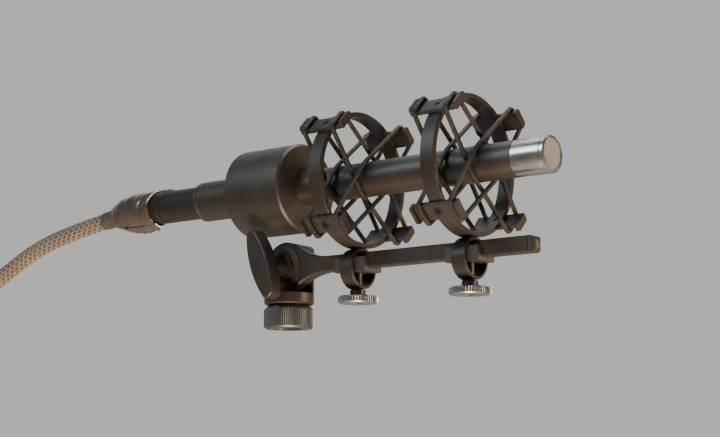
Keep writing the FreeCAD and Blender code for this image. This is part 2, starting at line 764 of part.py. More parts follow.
def plug_shell():
    rear = PLUG_REAR_X
    grip = []
    for i in reversed(range(GRIP_RINGS)):
        x = rear + GRIP_START + i * GRIP_PITCH
        low = PLUG_R - GRIP_DEPTH
        grip += [(x + GRIP_WIDTH, PLUG_R), (x + 0.7 * GRIP_WIDTH, low), (x + 0.3 * GRIP_WIDTH, low), (x, PLUG_R)]
    shell = turned(
        [
            (PLUG_FACE_X + NOSE_LENGTH, PLUG_BORE),
            (PLUG_FACE_X + NOSE_LENGTH, SOCKET_R - 0.6),
            (PLUG_FACE_X + NOSE_LENGTH - 0.5, SOCKET_R - 2 * RUNNING),
            (PLUG_FACE_X, SOCKET_R - 2 * RUNNING),
            (PLUG_FACE_X, PLUG_R - 0.6),
            (PLUG_FACE_X - 0.6, PLUG_R),
            *grip,
            (rear, PLUG_R),
            (rear, CABLE_D / 2 + 0.4),
            (rear + 8, CABLE_D / 2 + 0.4),
            (rear + 8, PLUG_BORE),
        ]
    )
    return shell.cut(latch_space(0.25))


def latch_space(gap):
    """The latch's own slot in the top of the shell."""
    x0 = PLUG_REAR_X + 7.0
    half = LATCH_WIDTH / 2 + gap
    return block(x0 - gap, x0 + LATCH_LENGTH + gap, -half, half, AXIS_Z + 4, AXIS_Z + PLUG_R + 5)


def plug_latch():
    x0, half = PLUG_REAR_X + 7.0, LATCH_WIDTH / 2
    lever = block(x0, x0 + LATCH_LENGTH, -half, half, AXIS_Z + PLUG_BORE + 0.1, AXIS_Z + PLUG_R - 0.6)
    button = block(x0, x0 + LATCH_BUTTON, -half, half, AXIS_Z + PLUG_R - 1, AXIS_Z + PLUG_R + LATCH_PROUD)
    top = [e for e in button.Edges if e.CenterOfMass.z > AXIS_Z + PLUG_R + LATCH_PROUD - 0.01]
    return lever.fuse(button.makeFillet(0.6, top))


def contact_span():
    return INSERT_X - PIN_LENGTH - 2.0, PLUG_FACE_X + NOSE_LENGTH - 0.1


def plug_insert():
    x0, x1 = contact_span()
    body = rod_x(x0 - 3, x1, PLUG_BORE - SEAT)
    for y, z in pin_places():
        body = body.cut(rod_x(x0, x1 + 1, 1.9 + SEAT, y, z))
    return body


def plug_contacts():
    x0, x1 = contact_span()
    return [
        rod_x(x0 + 0.02, x1, 1.9, y, z).cut(rod_x(x0 + 1, x1 + 1, PIN_R + RUNNING, y, z)) for y, z in pin_places()
    ]


def lofted(stations):
    """A round body through stations of (x, z, radius); each section stands across the way to the next."""
    centres = [Vector(x, 0, z) for x, z, _ in stations]
    ways = [b - a for a, b in zip(centres, centres[1:])]
    ways.append(Vector(LEAD_ROUTE[1][0] - LEAD_ROUTE[0][0], 0, LEAD_ROUTE[1][1] - LEAD_ROUTE[0][1]))
    rings = [
        Part.Wire(Part.Circle(centre, way, r).toShape())
        for centre, way, (_, _, r) in zip(centres, ways, stations)
    ]
    return Part.makeLoft(rings, True, False)


def tape_wrap():
    """Wound tape from the plug's rear end to the cable."""
    front, r = PLUG_REAR_X + WRAP_LAP, PLUG_R + WRAP_PROUD
    end_x, end_z = WRAP_END
    length = front - end_x
    stations = [
        (front, AXIS_Z, r - 0.4),
        (front - 1.5, AXIS_Z, r),
        (front - 0.35 * length, AXIS_Z, r + 0.1),
        (front - 0.7 * length, AXIS_Z - 0.3, r - 0.5),
        (end_x, end_z, CABLE_D / 2 + 1.9),
    ]
    return lofted(stations).cut(rod_x(PLUG_REAR_X - 0.05, front + 1, PLUG_R + SEAT))


def heat_shrink():
    (x0, z0), (x1, z1) = WRAP_END, SHRINK_END
    middle = ((x0 + x1) / 2, (z0 + z1) / 2)
    return lofted([(x0, z0, CABLE_D / 2 + 1.7), (*middle, CABLE_D / 2 + 1.1), (x1, z1, CABLE_D / 2 + 0.4)])


def rounded_route(points):
    """Straight runs joined by arcs as large as the runs allow, in the X-Z plane; prints the radii."""
    edges, radii, last = [], [], points[0]
    for before, corner, after in zip(points, points[1:], points[2:]):
        come, go = (corner - before), (after - corner)
        half_turn = come.getAngle(go) / 2
        cut = 0.45 * min(come.Length, go.Length)
        radii.append(cut / math.tan(half_turn))
        start = corner - come.normalize() * cut
        end = corner + go.normalize() * cut
        inward = (end - corner) + (start - corner)
        deep = radii[-1] * (1 / math.cos(half_turn) - 1)
        edges += [line(last, start), arc(start, corner + inward.normalize() * deep, end)]
        last = end
    edges.append(line(last, points[-1]))
    print("arc radii:", ", ".join(f"{r:.0f}" for r in radii))
    return edges


def cord_lead():
    points = [Vector(x, 0, z) for x, z in LEAD_ROUTE]
    edges = rounded_route(points)
    length = sum(e.Length for e in edges)
    tube = swept(edges, CABLE_D / 2, points[0], points[1] - points[0])
    section = math.pi * CABLE_D**2 / 4
    print(f"lead length {length:.1f}, volume over section times length {tube.Volume / (section * length):.4f}")
    return tube


def coil_centre():
    """The lead is the outermost turn where it meets the coil."""
    a = math.radians(LEAD_END_FALL)
    r = COIL_MEAN_R + CABLE_D
    x, z = LEAD_ROUTE[-1]
    return x + r * math.sin(a), z - r * math.cos(a)


def cord_coil():
    x, z = coil_centre()
    half = COIL_ROWS * CABLE_D / 2
    outer, inner = COIL_MEAN_R + half, COIL_MEAN_R - half
    body = rod_y(-half, half, outer, x, z).cut(rod_y(-half - 1, half + 1, inner, x, z))
    return body.makeChamfer(CABLE_D / 3, [e for e in body.Edges if len(e.Vertexes) == 1])


def coil_tie():
    """A strap round the bundle, where the lead comes in."""
    x, z = coil_centre()
    half = COIL_ROWS * CABLE_D / 2 + 1.0
    outer = half + TIE_THICK
    w = TIE_WIDTH / 2
    sleeve = block(-w, w, -outer, outer, COIL_MEAN_R - outer, COIL_MEAN_R + outer)
    sleeve = sleeve.cut(block(-w - 1, w + 1, -half, half, COIL_MEAN_R - half, COIL_MEAN_R + half))
    sleeve.rotate(Vector(0, 0, 0), Y_WAY, -LEAD_END_FALL)
    sleeve.translate(Vector(x, 0, z))
    return sleeve


def tail_places():
    x, z = coil_centre()
    return x - COIL_MEAN_R - CABLE_D, z, z - TAIL_LENGTH


def cord_tail():
    x, top, bottom = tail_places()
    return rod_z(bottom, top, CABLE_D / 2, x, TAIL_SIDE)


def far_plug_boot():
    x, _, top = tail_places()
    return Part.makeCone(CABLE_D / 2 + 2.2, CABLE_D / 2 + 0.9, BOOT_LENGTH - 0.1, Vector(x, TAIL_SIDE, top - BOOT_LENGTH), Z_WAY)


def far_plug_shell():
    x, _, top = tail_places()
    z1 = top - BOOT_LENGTH - 0.1
    z0 = z1 - FAR_PLUG_LENGTH
    body = turned(
        [
            (z0, SOCKET_R),
            (z0, PLUG_R - 0.5),
            (z0 + 0.5, PLUG_R),
            (z1 - 3, PLUG_R),
            (z1, PLUG_R - 2),
            (z1, CABLE_D / 2),
            (z1 - 14, CABLE_D / 2),
            (z1 - 14, PLUG_BORE),
            (z0 + SOCKET_DEPTH + 6, PLUG_BORE),
            (z0 + SOCKET_DEPTH + 6, SOCKET_R),
        ],
        z=0, way="z",
    )
    body.translate(Vector(x, TAIL_SIDE, 0))
    return body


def far_plug_pins():
    """The insulating disc, and three pins through it."""
    x, _, top = tail_places()
    z0 = top - BOOT_LENGTH - 0.1 - FAR_PLUG_LENGTH + SOCKET_DEPTH
    disc = rod_z(z0, z0 + 5.8, SOCKET_R - SEAT, x, TAIL_SIDE)
    pins = []
    for angle in PIN_ANGLES:
        a = math.radians(angle)
        px, py = x + PIN_CIRCLE_R * math.cos(a), TAIL_SIDE + PIN_CIRCLE_R * math.sin(a)
        disc = disc.cut(rod_z(z0 - 1, z0 + 7, PIN_R + SEAT, px, py))
        pins.append(rod_z(z0 - PIN_LENGTH, z0 + 8, PIN_R, px, py))
    return [disc, *pins]


SINGLE_PARTS = (
    stand_ring, snap_ring, swivel_base, friction_washers, tilt_stud, tilt_handle, support_bar, bar_end_plug,
    xlr_barrel, xlr_insert, xlr_pins, can_rear_cap, can_shell, body_tube, head_shell, head_rim, head_mesh,
    wind_screen, motor_frame, magnets, pole_pieces, ribbon, ribbon_clamps, damping_pad,
    transformer_shield, transformer_core, transformer_coil, lead_wires,
    plug_shell, plug_latch, plug_insert, plug_contacts, tape_wrap, heat_shrink,
    cord_lead, cord_coil, coil_tie, cord_tail, far_plug_boot, far_plug_shell, far_plug_pins,
)
RING_PARTS = (hoop, clips, clip_screws, elastics, strap, hoop_rivet, slide_block, thumb_knob, thumb_screw)
RING_PLACES = (("rear", REAR_RING_X), ("front", REAR_RING_X + RING_SPACING))


def main():
    os.makedirs("parts", exist_ok=True)
    for make in SINGLE_PARTS:
        made = make()
        save(make.__name__, *(made if isinstance(made, list) else [made]))
    for name, x in RING_PLACES:
        for make in RING_PARTS:
            made = make(x)
            save(name + "_" + make.__name__, *(made if isinstance(made, list) else [made]))


main()
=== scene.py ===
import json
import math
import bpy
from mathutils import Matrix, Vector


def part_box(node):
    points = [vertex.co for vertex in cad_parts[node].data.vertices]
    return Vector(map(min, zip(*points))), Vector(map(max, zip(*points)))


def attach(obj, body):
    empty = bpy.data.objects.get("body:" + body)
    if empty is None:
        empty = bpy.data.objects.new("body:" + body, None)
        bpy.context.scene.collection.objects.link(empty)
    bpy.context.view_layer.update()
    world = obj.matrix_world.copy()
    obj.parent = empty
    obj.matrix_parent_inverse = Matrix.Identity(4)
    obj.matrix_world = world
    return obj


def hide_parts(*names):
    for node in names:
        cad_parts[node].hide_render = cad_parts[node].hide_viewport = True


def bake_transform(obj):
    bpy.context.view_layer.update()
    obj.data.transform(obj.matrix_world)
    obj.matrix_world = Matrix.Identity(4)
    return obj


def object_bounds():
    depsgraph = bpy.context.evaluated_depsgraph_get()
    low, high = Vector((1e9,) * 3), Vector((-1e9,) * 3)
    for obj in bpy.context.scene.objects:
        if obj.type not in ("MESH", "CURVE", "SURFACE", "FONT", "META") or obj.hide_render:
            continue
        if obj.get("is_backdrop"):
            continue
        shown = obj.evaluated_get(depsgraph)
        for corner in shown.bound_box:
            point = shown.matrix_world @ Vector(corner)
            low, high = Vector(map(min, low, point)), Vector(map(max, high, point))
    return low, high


bl_info = {
    "name": "Ribbon Microphone in Suspension Rings",
    "version": (1, 0, 0),
    "blender": (4, 5, 0),
    "location": "3D View > Sidebar > Microphone",
    "description": "Dresses the packed ribbon microphone, its suspension mount and its cable",
    "category": "Add Mesh",
}

import bmesh
import bpy
from bpy.props import FloatProperty, FloatVectorProperty, IntProperty, PointerProperty
from mathutils import Vector, noise

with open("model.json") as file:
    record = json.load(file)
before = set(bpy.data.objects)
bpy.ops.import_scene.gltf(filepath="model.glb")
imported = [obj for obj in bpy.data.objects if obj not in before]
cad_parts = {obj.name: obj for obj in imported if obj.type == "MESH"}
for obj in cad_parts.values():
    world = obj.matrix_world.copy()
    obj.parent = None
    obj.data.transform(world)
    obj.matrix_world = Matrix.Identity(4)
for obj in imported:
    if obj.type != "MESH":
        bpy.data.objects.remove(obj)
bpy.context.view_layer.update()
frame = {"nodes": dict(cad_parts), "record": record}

MM = 0.001
RING_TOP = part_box("stand_ring")[1][2]
REAR_HOOP_LOW, REAR_HOOP_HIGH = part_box("rear_hoop")
FRONT_HOOP_LOW, FRONT_HOOP_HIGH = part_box("front_hoop")
AXIS_Z = (REAR_HOOP_LOW[2] + REAR_HOOP_HIGH[2]) / 2
HOOP_R = (REAR_HOOP_HIGH[2] - REAR_HOOP_LOW[2]) / 2
REAR_X = (REAR_HOOP_LOW[0] + REAR_HOOP_HIGH[0]) / 2
FRONT_X = (FRONT_HOOP_LOW[0] + FRONT_HOOP_HIGH[0]) / 2
CLIP_ANGLES = (45.0, 135.0, 225.0, 315.0)

# The cable's way from its sleeve to the coil, and the coil that its end meets.
LEAD = (
    (-149.0, 74.2),
    (-180.0, 69.9),
    (-213.0, 62.2),
    (-242.0, 49.4),
    (-274.4, 33.6),
    (-326.9, 4.5),
    (-380.1, -28.7),
)
LEAD_FALL = 32.0
LEAD_SEEN = 0.262
COIL_CELLS = ((1, 0), (1, -1), (0, -1), (-1, -1), (-1, 0), (0, 0), (0, 1), (1, 1))
COIL_STEPS = 18
CELL_TURN = 340.0
FIRST_CROSSING = 330.0
CROSSING_WIDTH = 40.0
COIL_END = 2700.0
TAIL_DROP = 46.0
BRAID_STRANDS, BRAID_LAY, BRAID_HEIGHT = 14, 0.0024, 0.00026

# The tape's front edge and rear end, and the pitch and slant of its turns.
TAPE_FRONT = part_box("tape_wrap")[1][0]
TAPE_REAR = (-137.6, 75.9)
TAPE_LAP, TAPE_SLANT = 0.0130, 0.0021

CAMERA_AT = (0.5547, -0.6416, -0.0698)
CAMERA_HEADING, CAMERA_PITCH = 128.2, 8.82


# ---------------------------------------------------------------- sizes and colours


def length(name, description, default):
    return FloatProperty(name=name, description=description, default=default, unit="LENGTH")


def teeth(name, description, default):
    return IntProperty(name=name, description=description, default=default, min=12)


class MicrophoneSizes(bpy.types.PropertyGroup):
    cable_diameter: length("Cable Diameter", "Across the braid", 0.010)
    cable_length: length("Cable Length", "From the sleeve to the far plug", 2.93)
    coil_radius: length("Coil Radius", "At the middle of the coil's turns", 0.058)
    elastic_diameter: length("Elastic Diameter", "Across one covered elastic", 0.0025)
    grille_pitch: length("Grille Pitch", "From wire to wire of the grille", 0.00075)
    grille_wire: length("Grille Wire", "Diameter of the grille's wires", 0.00034)
    stand_ring_teeth: teeth("Stand Ring Teeth", "Knurls round the stand ring", 76)
    thumbscrew_teeth: teeth("Thumbscrew Teeth", "Knurls round each thumbscrew", 48)
    lens: FloatProperty(name="Lens", description="Focal length of the camera", default=76.97)


def colour(name, description, default):
    return FloatVectorProperty(
        name=name, description=description, default=default, subtype="COLOR", size=3, min=0, max=1
    )


class MicrophoneColours(bpy.types.PropertyGroup):
    body: colour("Body", "Anodised housing", (0.075, 0.070, 0.066))
    mount: colour("Mount", "Painted rings, bar and swivel", (0.040, 0.037, 0.035))
    chrome: colour("Chrome", "Head and necks", (0.50, 0.48, 0.455))
    thumb: colour("Thumbscrew", "Turned steel", (0.40, 0.41, 0.43))
    braid: colour("Braid", "Cable's light yarn", (0.26, 0.205, 0.155))
    # This tone colours the dark tracer yarns and also paints the shade between the cable's yarns
    braid_tracer_and_gap_shade: colour("Braid Tracer", "Cable's dark yarn", (0.030, 0.022, 0.017))
    tape: colour("Tape", "Shiny wound tape", (0.046, 0.033, 0.025))
    sleeve: colour("Sleeve", "Shrunk sleeve", (0.050, 0.049, 0.048))
    backdrop: colour("Backdrop", "Floor and backdrop", (0.72, 0.71, 0.69))


# ---------------------------------------------------------------- node trees


class Link:
    """An output socket of a node tree. Arithmetic on it adds Math nodes."""

    def __init__(self, graph, socket):
        self.graph = graph
        self.socket = socket

    def maths(self, operation, *values):
        return self.graph.node("ShaderNodeMath", {"operation": operation}, values)

    def __add__(self, other):
        return self.maths("ADD", self, other)

    def __sub__(self, other):
        return self.maths("SUBTRACT", self, other)

    def __rsub__(self, other):
        return self.maths("SUBTRACT", other, self)

    def __mul__(self, other):
        return self.maths("MULTIPLY", self, other)

    def __truediv__(self, other):
        return self.maths("DIVIDE", self, other)

    def __rtruediv__(self, other):
        return self.maths("DIVIDE", other, self)

    def __abs__(self):
        return self.maths("ABSOLUTE", self)

    __radd__ = __add__
    __rmul__ = __mul__

    def sine(self):
        return self.maths("SINE", self)

    def floor(self):
        return self.maths("FLOOR", self)

    def wrapped(self, period=1.0):
        return self.maths("FLOORED_MODULO", self, period)

    def over(self, other):
        return self.maths("GREATER_THAN", self, other)

    def ramp(self, low, high):
        """0 below low, 1 above high, and smooth between."""
        sockets = {"Value": self, "From Min": low, "From Max": high}
        return self.graph.node(
            "ShaderNodeMapRange", {"interpolation_type": "SMOOTHSTEP"}, sockets
        )


class Graph:
    """A node tree that nodes are added to."""

    def __init__(self, tree):
        self.tree = tree

    def node(self, kind, settings=None, values=(), out=0):
        """Add a node: its settings first, then the values or links of its sockets."""
        made = self.tree.nodes.new(kind)
        for name, setting in (settings or {}).items():
            if name == "stops":
                stops = made.color_ramp.elements
                while len(stops) < len(setting):
                    stops.new(0.5)
                for stop, (at, tint) in zip(stops, setting):
                    stop.position, stop.color = at, (*tint, 1)
            else:
                setattr(made, name, setting)
        pairs = values.items() if isinstance(values, dict) else enumerate(values)
        for key, value in pairs:
            socket = made.inputs[key]
            if isinstance(value, Link):
                self.tree.links.new(value.socket, socket)
            elif socket.type == "RGBA" and len(value) == 3:
                socket.default_value = (*value, 1)
            else:
                socket.default_value = value
        return Link(self, made.outputs[out])

    def vector(self, x=0.0, y=0.0, z=0.0):
        return self.node("ShaderNodeCombineXYZ", None, (x, y, z))

    def split(self, vector):
        made = self.node("ShaderNodeSeparateXYZ", None, (vector,))
        return [Link(self, socket) for socket in made.socket.node.outputs]

    def vectors(self, operation, *values, out=0):
        return self.node("ShaderNodeVectorMath", {"operation": operation}, values, out)


class Finish(Graph):
    """A procedural material, on Object coordinates in metres."""

    def __init__(self, name, **constants):
        self.material = bpy.data.materials.new(name)
        self.material.use_nodes = True
        super().__init__(self.material.node_tree)
        self.tree.nodes.clear()
        self.shader = self.tree.nodes.new("ShaderNodeBsdfPrincipled")
        output = self.tree.nodes.new("ShaderNodeOutputMaterial")
        self.tree.links.new(self.shader.outputs[0], output.inputs[0])
        for key, value in constants.items():
            self.shader.inputs[key.replace("_", " ")].default_value = value
        self.place = self.node("ShaderNodeTexCoord", out="Object")

    def grain(self, scale, detail=2.0, vector=None, roughness=0.5):
        sockets = {
            "Vector": vector or self.place,
            "Scale": scale,
            "Detail": detail,
            "Roughness": roughness,
        }
        return self.node("ShaderNodeTexNoise", None, sockets, "Fac")

    def mix(self, factor, first, second):
        sockets = {0: factor, 6: first, 7: second}
        return self.node("ShaderNodeMix", {"data_type": "RGBA"}, sockets, 2)

    def tint(self, factor, tone, low, high):
        """The tone from low to high times its brightness."""
        shades = [tuple(min(1.0, part * times) for part in tone) for times in (low, high)]
        return self.mix(factor, *shades)

    def feed(self, **links):
        for key, link in links.items():
            self.tree.links.new(link.socket, self.shader.inputs[key.replace("_", " ")])

    def relief(self, height, depth, strength=1.0, under=None):
        sockets = {"Height": height, "Distance": depth, "Strength": strength}
        if under:
            sockets["Normal"] = under
        return self.node("ShaderNodeBump", None, sockets)

    def from_axis(self, z=AXIS_Z):
        """How far along X, round and out from an axis along X."""
        x, y, height = self.split(self.place)
        height = height - z
        out = self.maths_of("SQRT", y * y + height * height)
        return x, self.maths_of("ARCTAN2", height, y), out

    def maths_of(self, operation, *values):
        return self.node("ShaderNodeMath", {"operation": operation}, values)


# ---------------------------------------------------------------- finishes


def anodised(tone):
    """Bead-blasted, anodised aluminium: a fine even tooth and faint cloudy tone."""
    f = Finish("anodised_housing", Metallic=0.85, Specular_IOR_Level=0.45)
    tooth = f.grain(4200, 2)
    cloud = f.grain(55, 3)
    rub = f.grain(240, 4).ramp(0.56, 0.74)
    f.feed(
        Base_Color=f.mix(rub * 0.25, f.tint(cloud, tone, 0.8, 1.25), (0.12, 0.11, 0.10)),
        Roughness=0.36 + cloud * 0.10 + tooth * 0.06 - rub * 0.05,
        Normal=f.relief(tooth, 0.00005, 0.55),
    )
    return f.material


def painted(tone):
    """Satin stoving paint with a little orange peel, rubbed thin on the hoops' edges.

    The knurled ring at the foot is blued steel of a cooler, lighter grey.
    """
    f = Finish("satin_paint", Specular_IOR_Level=0.5)
    peel = f.grain(750, 2)
    dust = f.grain(2600, 2)
    cloud = f.grain(38, 3)
    x, _, out = f.from_axis()
    middle = f.maths_of("MINIMUM", abs(x - REAR_X), abs(x - FRONT_X))
    rim = middle.ramp(0.0036, 0.0042) * middle.ramp(0.0048, 0.0044)
    rim = rim * out.ramp(HOOP_R - 0.0008, HOOP_R - 0.0003)
    rim = rim * out.ramp(HOOP_R + 0.0006, HOOP_R + 0.0003)
    worn = rim * f.grain(420, 4).ramp(0.5, 0.7)
    _, _, height = f.split(f.place)
    steel = height.ramp(RING_TOP + 0.0003, RING_TOP)
    coat = f.mix(worn * 0.5, f.tint(cloud, tone, 0.75, 1.3), (0.10, 0.095, 0.09))
    f.feed(
        Base_Color=f.mix(steel, coat, (0.125, 0.140, 0.160)),
        Metallic=0.6 + steel * 0.3,
        Roughness=0.33 + cloud * 0.10 + dust * 0.08 - worn * 0.08,
        Normal=f.relief(peel, 0.00007, 0.5, f.relief(dust, 0.00002, 0.4)),
    )
    return f.material


def turned_metal(name, tone, rough, across=900, metallic=1.0, marks=0.4):
    """Metal with fine turning marks round X, and slight handling haze."""
    f = Finish(name, Metallic=metallic)
    x, turn, out = f.from_axis()
    marks_at = f.vector(x * across, turn * 1.5, out * across)
    lines = f.grain(4, 3, marks_at)
    haze = f.grain(90, 4)
    f.feed(
        Base_Color=f.tint(haze * 0.6 + lines * 0.4, tone, 0.86, 1.08),
        Roughness=rough + haze.ramp(0.35, 0.75) * rough * 0.4 + lines * rough * 0.4,
        Normal=f.relief(lines, 0.00002, marks),
    )
    return f.material


def knurled_steel(tone):
    """Bright turned steel, with arcs of turning marks round each screw's own upright axis."""
    f = Finish("knurled_steel", Metallic=1.0)
    x, y, z = f.split(f.place)
    local = f.maths_of("MINIMUM", abs(x - REAR_X), abs(x - FRONT_X))
    out = f.maths_of("SQRT", local * local + y * y)
    rings = f.grain(3, 3, f.vector(out * 2400, 0.0, z * 300))
    haze = f.grain(60, 3)
    f.feed(
        Base_Color=f.tint(haze, tone, 0.85, 1.1),
        Roughness=0.24 + haze * 0.12 + rings * 0.08,
        Normal=f.relief(rings, 0.00002, 0.3),
    )
    return f.material


def moulded(name, tone, rough, tooth=1800, depth=0.00005):
    """Moulded plastic or rubber: a spark-eroded tooth and slight mottling."""
    f = Finish(name, Specular_IOR_Level=0.5)
    teeth = f.grain(tooth, 3)
    cloud = f.grain(70, 3)
    f.feed(
        Base_Color=f.tint(cloud * 0.7 + teeth * 0.3, tone, 0.78, 1.22),
        Roughness=rough + cloud * 0.10 + teeth * 0.08,
        Normal=f.relief(teeth, depth, 0.6),
    )
    return f.material


def plug_body(tone):
    """Satin black plug metal with a grip of shallow rings near its rear."""
    f = Finish("plug_metal", Metallic=0.4, Specular_IOR_Level=0.5)
    x, _, _ = f.from_axis()
    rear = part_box("plug_shell")[0][0]
    rings = (x - rear) / 0.0016
    grip = (rings.wrapped() - 0.5).ramp(-0.2, 0.2)
    place = x.ramp(rear + 0.0155, rear + 0.0150) * x.ramp(rear + 0.004, rear + 0.0045)
    tooth = f.grain(3600, 2)
    cloud = f.grain(60, 3)
    f.feed(
        Base_Color=f.tint(cloud, tone, 0.75, 1.3),
        Roughness=0.34 + cloud * 0.10 + tooth * 0.06,
        Normal=f.relief(grip * place, 0.00022, 0.9, f.relief(tooth, 0.00004, 0.5)),
    )
    return f.material


def braided(name, tone, dark, strands, lay, sheen, rough, deep=0.55, tracers=0.0):
    """Yarns crossing on a round cord, with painted shade in the gaps between yarns and on the yarn
    that dives under at each crossing. U is once round, V is metres along.
    """
    f = Finish(name, Sheen_Weight=sheen, Sheen_Roughness=0.45)
    u, v, _ = f.split(f.node("ShaderNodeUVMap"))
    left = u * strands + v / lay
    right = u * strands - v / lay
    one = abs((left * math.pi).sine())
    other = abs((right * math.pi).sine())
    over = ((left + right) * 0.5 + 0.25).wrapped().over(0.5)
    # deep lowers the yarn that dives under at a crossing, which the colour below turns into painted
    # shade
    yarn = f.maths_of("MAXIMUM", one * (1 - (1 - over) * deep), other * (1 - over * deep))
    fibre = f.grain(2800, 4)
    soil = f.grain(45, 4).ramp(0.4, 0.75)
    which = (right / 2).wrapped().over(1 - tracers) * (1 - over) if tracers else fibre * 0.0
    # Painted shade: where the yarn profile is low, between yarns and under a crossing, the colour
    # goes to the dark tone
    base = f.mix(yarn.ramp(0.25, 0.85) * (0.8 + fibre * 0.4), dark, tone)
    f.feed(
        Base_Color=f.mix(which * 0.85 + soil * 0.18, base, dark),
        Roughness=rough + fibre * 0.18,
        Normal=f.relief(yarn * 0.9 + fibre * 0.25, 0.00045, 0.9),
    )
    return f.material


def taped(tone):
    """Glossy wound tape over a dull core: overlapping turns, stretch marks and trapped air, with a
    painted highlight where the tape curls past its front edge.
    """
    f = Finish("wound_tape", Specular_IOR_Level=0.6, Coat_Roughness=0.12)
    x, turn, _ = f.from_axis()
    # Painted highlight: past the front edge, where the tape curls up, the colour goes pale
    curled = x.ramp(TAPE_FRONT - 0.0004, TAPE_FRONT + 0.0012)
    skew = x + turn * TAPE_SLANT
    turns = (skew / TAPE_LAP).wrapped()
    creases = f.grain(2, 4, f.vector(skew * 240, turn * 1.4, 0.0))
    cloud = f.grain(150, 4)
    air = f.grain(520, 3).ramp(0.58, 0.70)
    edge = turns.ramp(0.90, 0.96) * turns.ramp(1.0, 0.985)
    wound = f.mix(edge * 0.55 + air * 0.25, f.tint(cloud, tone, 0.55, 1.6), (0.055, 0.042, 0.035))
    f.feed(
        # The pale tone here is the painted highlight on the curled tape
        Base_Color=f.mix(curled * 0.9, wound, (0.62, 0.60, 0.57)),
        Roughness=0.20 + cloud * 0.16 + air * 0.15,
        Coat_Weight=0.5 + cloud * 0.4,
        Normal=f.relief(creases, 0.0004, 0.5, f.relief(air * 0.3 + edge * 0.4, 0.0001, 0.5)),
    )
    return f.material


def shrunk(tone):
    """Matt shrunk sleeving, drawn into faint rings and lines by what is under it."""
    f = Finish("shrunk_sleeve", Specular_IOR_Level=0.35)
    x, turn, _ = f.from_axis()
    pulls = f.grain(3, 3, f.vector(x * 260, turn * 3.0, 0.0))
    tooth = f.grain(2200, 3)
    cloud = f.grain(120, 3)
    f.feed(
        Base_Color=f.tint(cloud * 0.6 + pulls * 0.4, tone, 0.7, 1.35),
        Roughness=0.52 + tooth * 0.12 + cloud * 0.08,
        Normal=f.relief(pulls, 0.0004, 0.5, f.relief(tooth, 0.00006, 0.5)),
    )
    return f.material


def hook_loop():
    """Napped fastening strap: a felted pile with rows of stitches along its edges."""
    f = Finish("hook_strap", Sheen_Weight=0.6, Sheen_Roughness=0.6)
    u, v, _ = f.split(f.node("ShaderNodeUVMap"))
    pile = f.grain(1500, 5, None, 0.7)
    rows = abs((v - 0.5) * 2).ramp(0.78, 0.84) * (1 - abs((v - 0.5) * 2).ramp(0.86, 0.92))
    stitches = rows * (u * 450).wrapped().over(0.35)
    nap = f.tint(pile, (0.035, 0.035, 0.038), 0.6, 1.6)
    f.feed(
        Base_Color=f.mix(stitches, nap, (0.09, 0.09, 0.09)),
        Roughness=0.85 + pile * 0.1,
        Normal=f.relief(pile + stitches * 0.6, 0.0003, 0.8),
    )
    return f.material


def finishes(colours):
    """Every material slot of the record, and the finish that it takes."""
    steel = (0.55, 0.53, 0.50)
    mount = painted(tuple(colours.mount))
    return {
        "matte_black": anodised(tuple(colours.body)),
        "satin_black": mount,
        "black_screw": turned_metal("black_screw", (0.05, 0.048, 0.045), 0.30, 1500, 0.9),
        "chrome": turned_metal("satin_nickel", tuple(colours.chrome), 0.20, 700, marks=0.15),
        "knurled_steel": knurled_steel(tuple(colours.thumb)),
        "grille_mesh": turned_metal("grille_wire", (0.50, 0.53, 0.57), 0.34, 2600),
        "wind_cloth": moulded("wind_cloth", (0.13, 0.14, 0.155), 0.80, 2600, 0.0002),
        "grey_block": moulded("grey_nylon", (0.024, 0.026, 0.030), 0.42, 1400),
        "black_plastic": moulded("black_nylon", (0.018, 0.018, 0.018), 0.40),
        "gold_contact": turned_metal("gold_contact", (0.83, 0.62, 0.26), 0.20, 1200),
        # The elastic's second tone is the painted shade between its yarns, with a little soil
        "elastic_cord": braided(
            "covered_elastic", (0.020, 0.019, 0.019), (0.006, 0.006, 0.006), 8, 0.0011, 0.0, 0.34
        ),
        "soft_iron": turned_metal("soft_iron", (0.34, 0.33, 0.32), 0.38, 1600),
        "magnet": turned_metal("plated_magnet", steel, 0.22, 1100),
        "foil": turned_metal("ribbon_foil", (0.86, 0.86, 0.87), 0.22, 3000),
        "brass_clamp": turned_metal("brass_clamp", (0.72, 0.55, 0.28), 0.30, 1400),
        "felt": moulded("felt_pad", (0.12, 0.12, 0.125), 0.88, 1300, 0.0003),
        "copper_winding": turned_metal("copper_winding", (0.70, 0.33, 0.18), 0.34, 5200, marks=0.9),
        "plug_black": plug_body((0.020, 0.019, 0.018)),
        "tape": taped(tuple(colours.tape)),
        "shrink": shrunk(tuple(colours.sleeve)),
        # The cable's dark tone colours its tracer yarns and the painted shade between its yarns
        "cable_braid": braided(
            "cable_braid", tuple(colours.braid), tuple(colours.braid_tracer_and_gap_shade),
            BRAID_STRANDS, BRAID_LAY, 0.25, 0.62, 0.6, 0.5
        ),
        "hook_strap": hook_loop(),
    }


# ---------------------------------------------------------------- mesh and tree helpers


def new_object(name, mesh, *materials):
    made = bpy.data.objects.new(name, mesh)
    bpy.context.scene.collection.objects.link(made)
    for material in materials:
        mesh.materials.append(material)
    return made


def built(build, name, material):
    """End a bmesh as a new object."""
    mesh = bpy.data.meshes.new(name)
    build.to_mesh(mesh)
    build.free()
    return new_object(name, mesh, material)


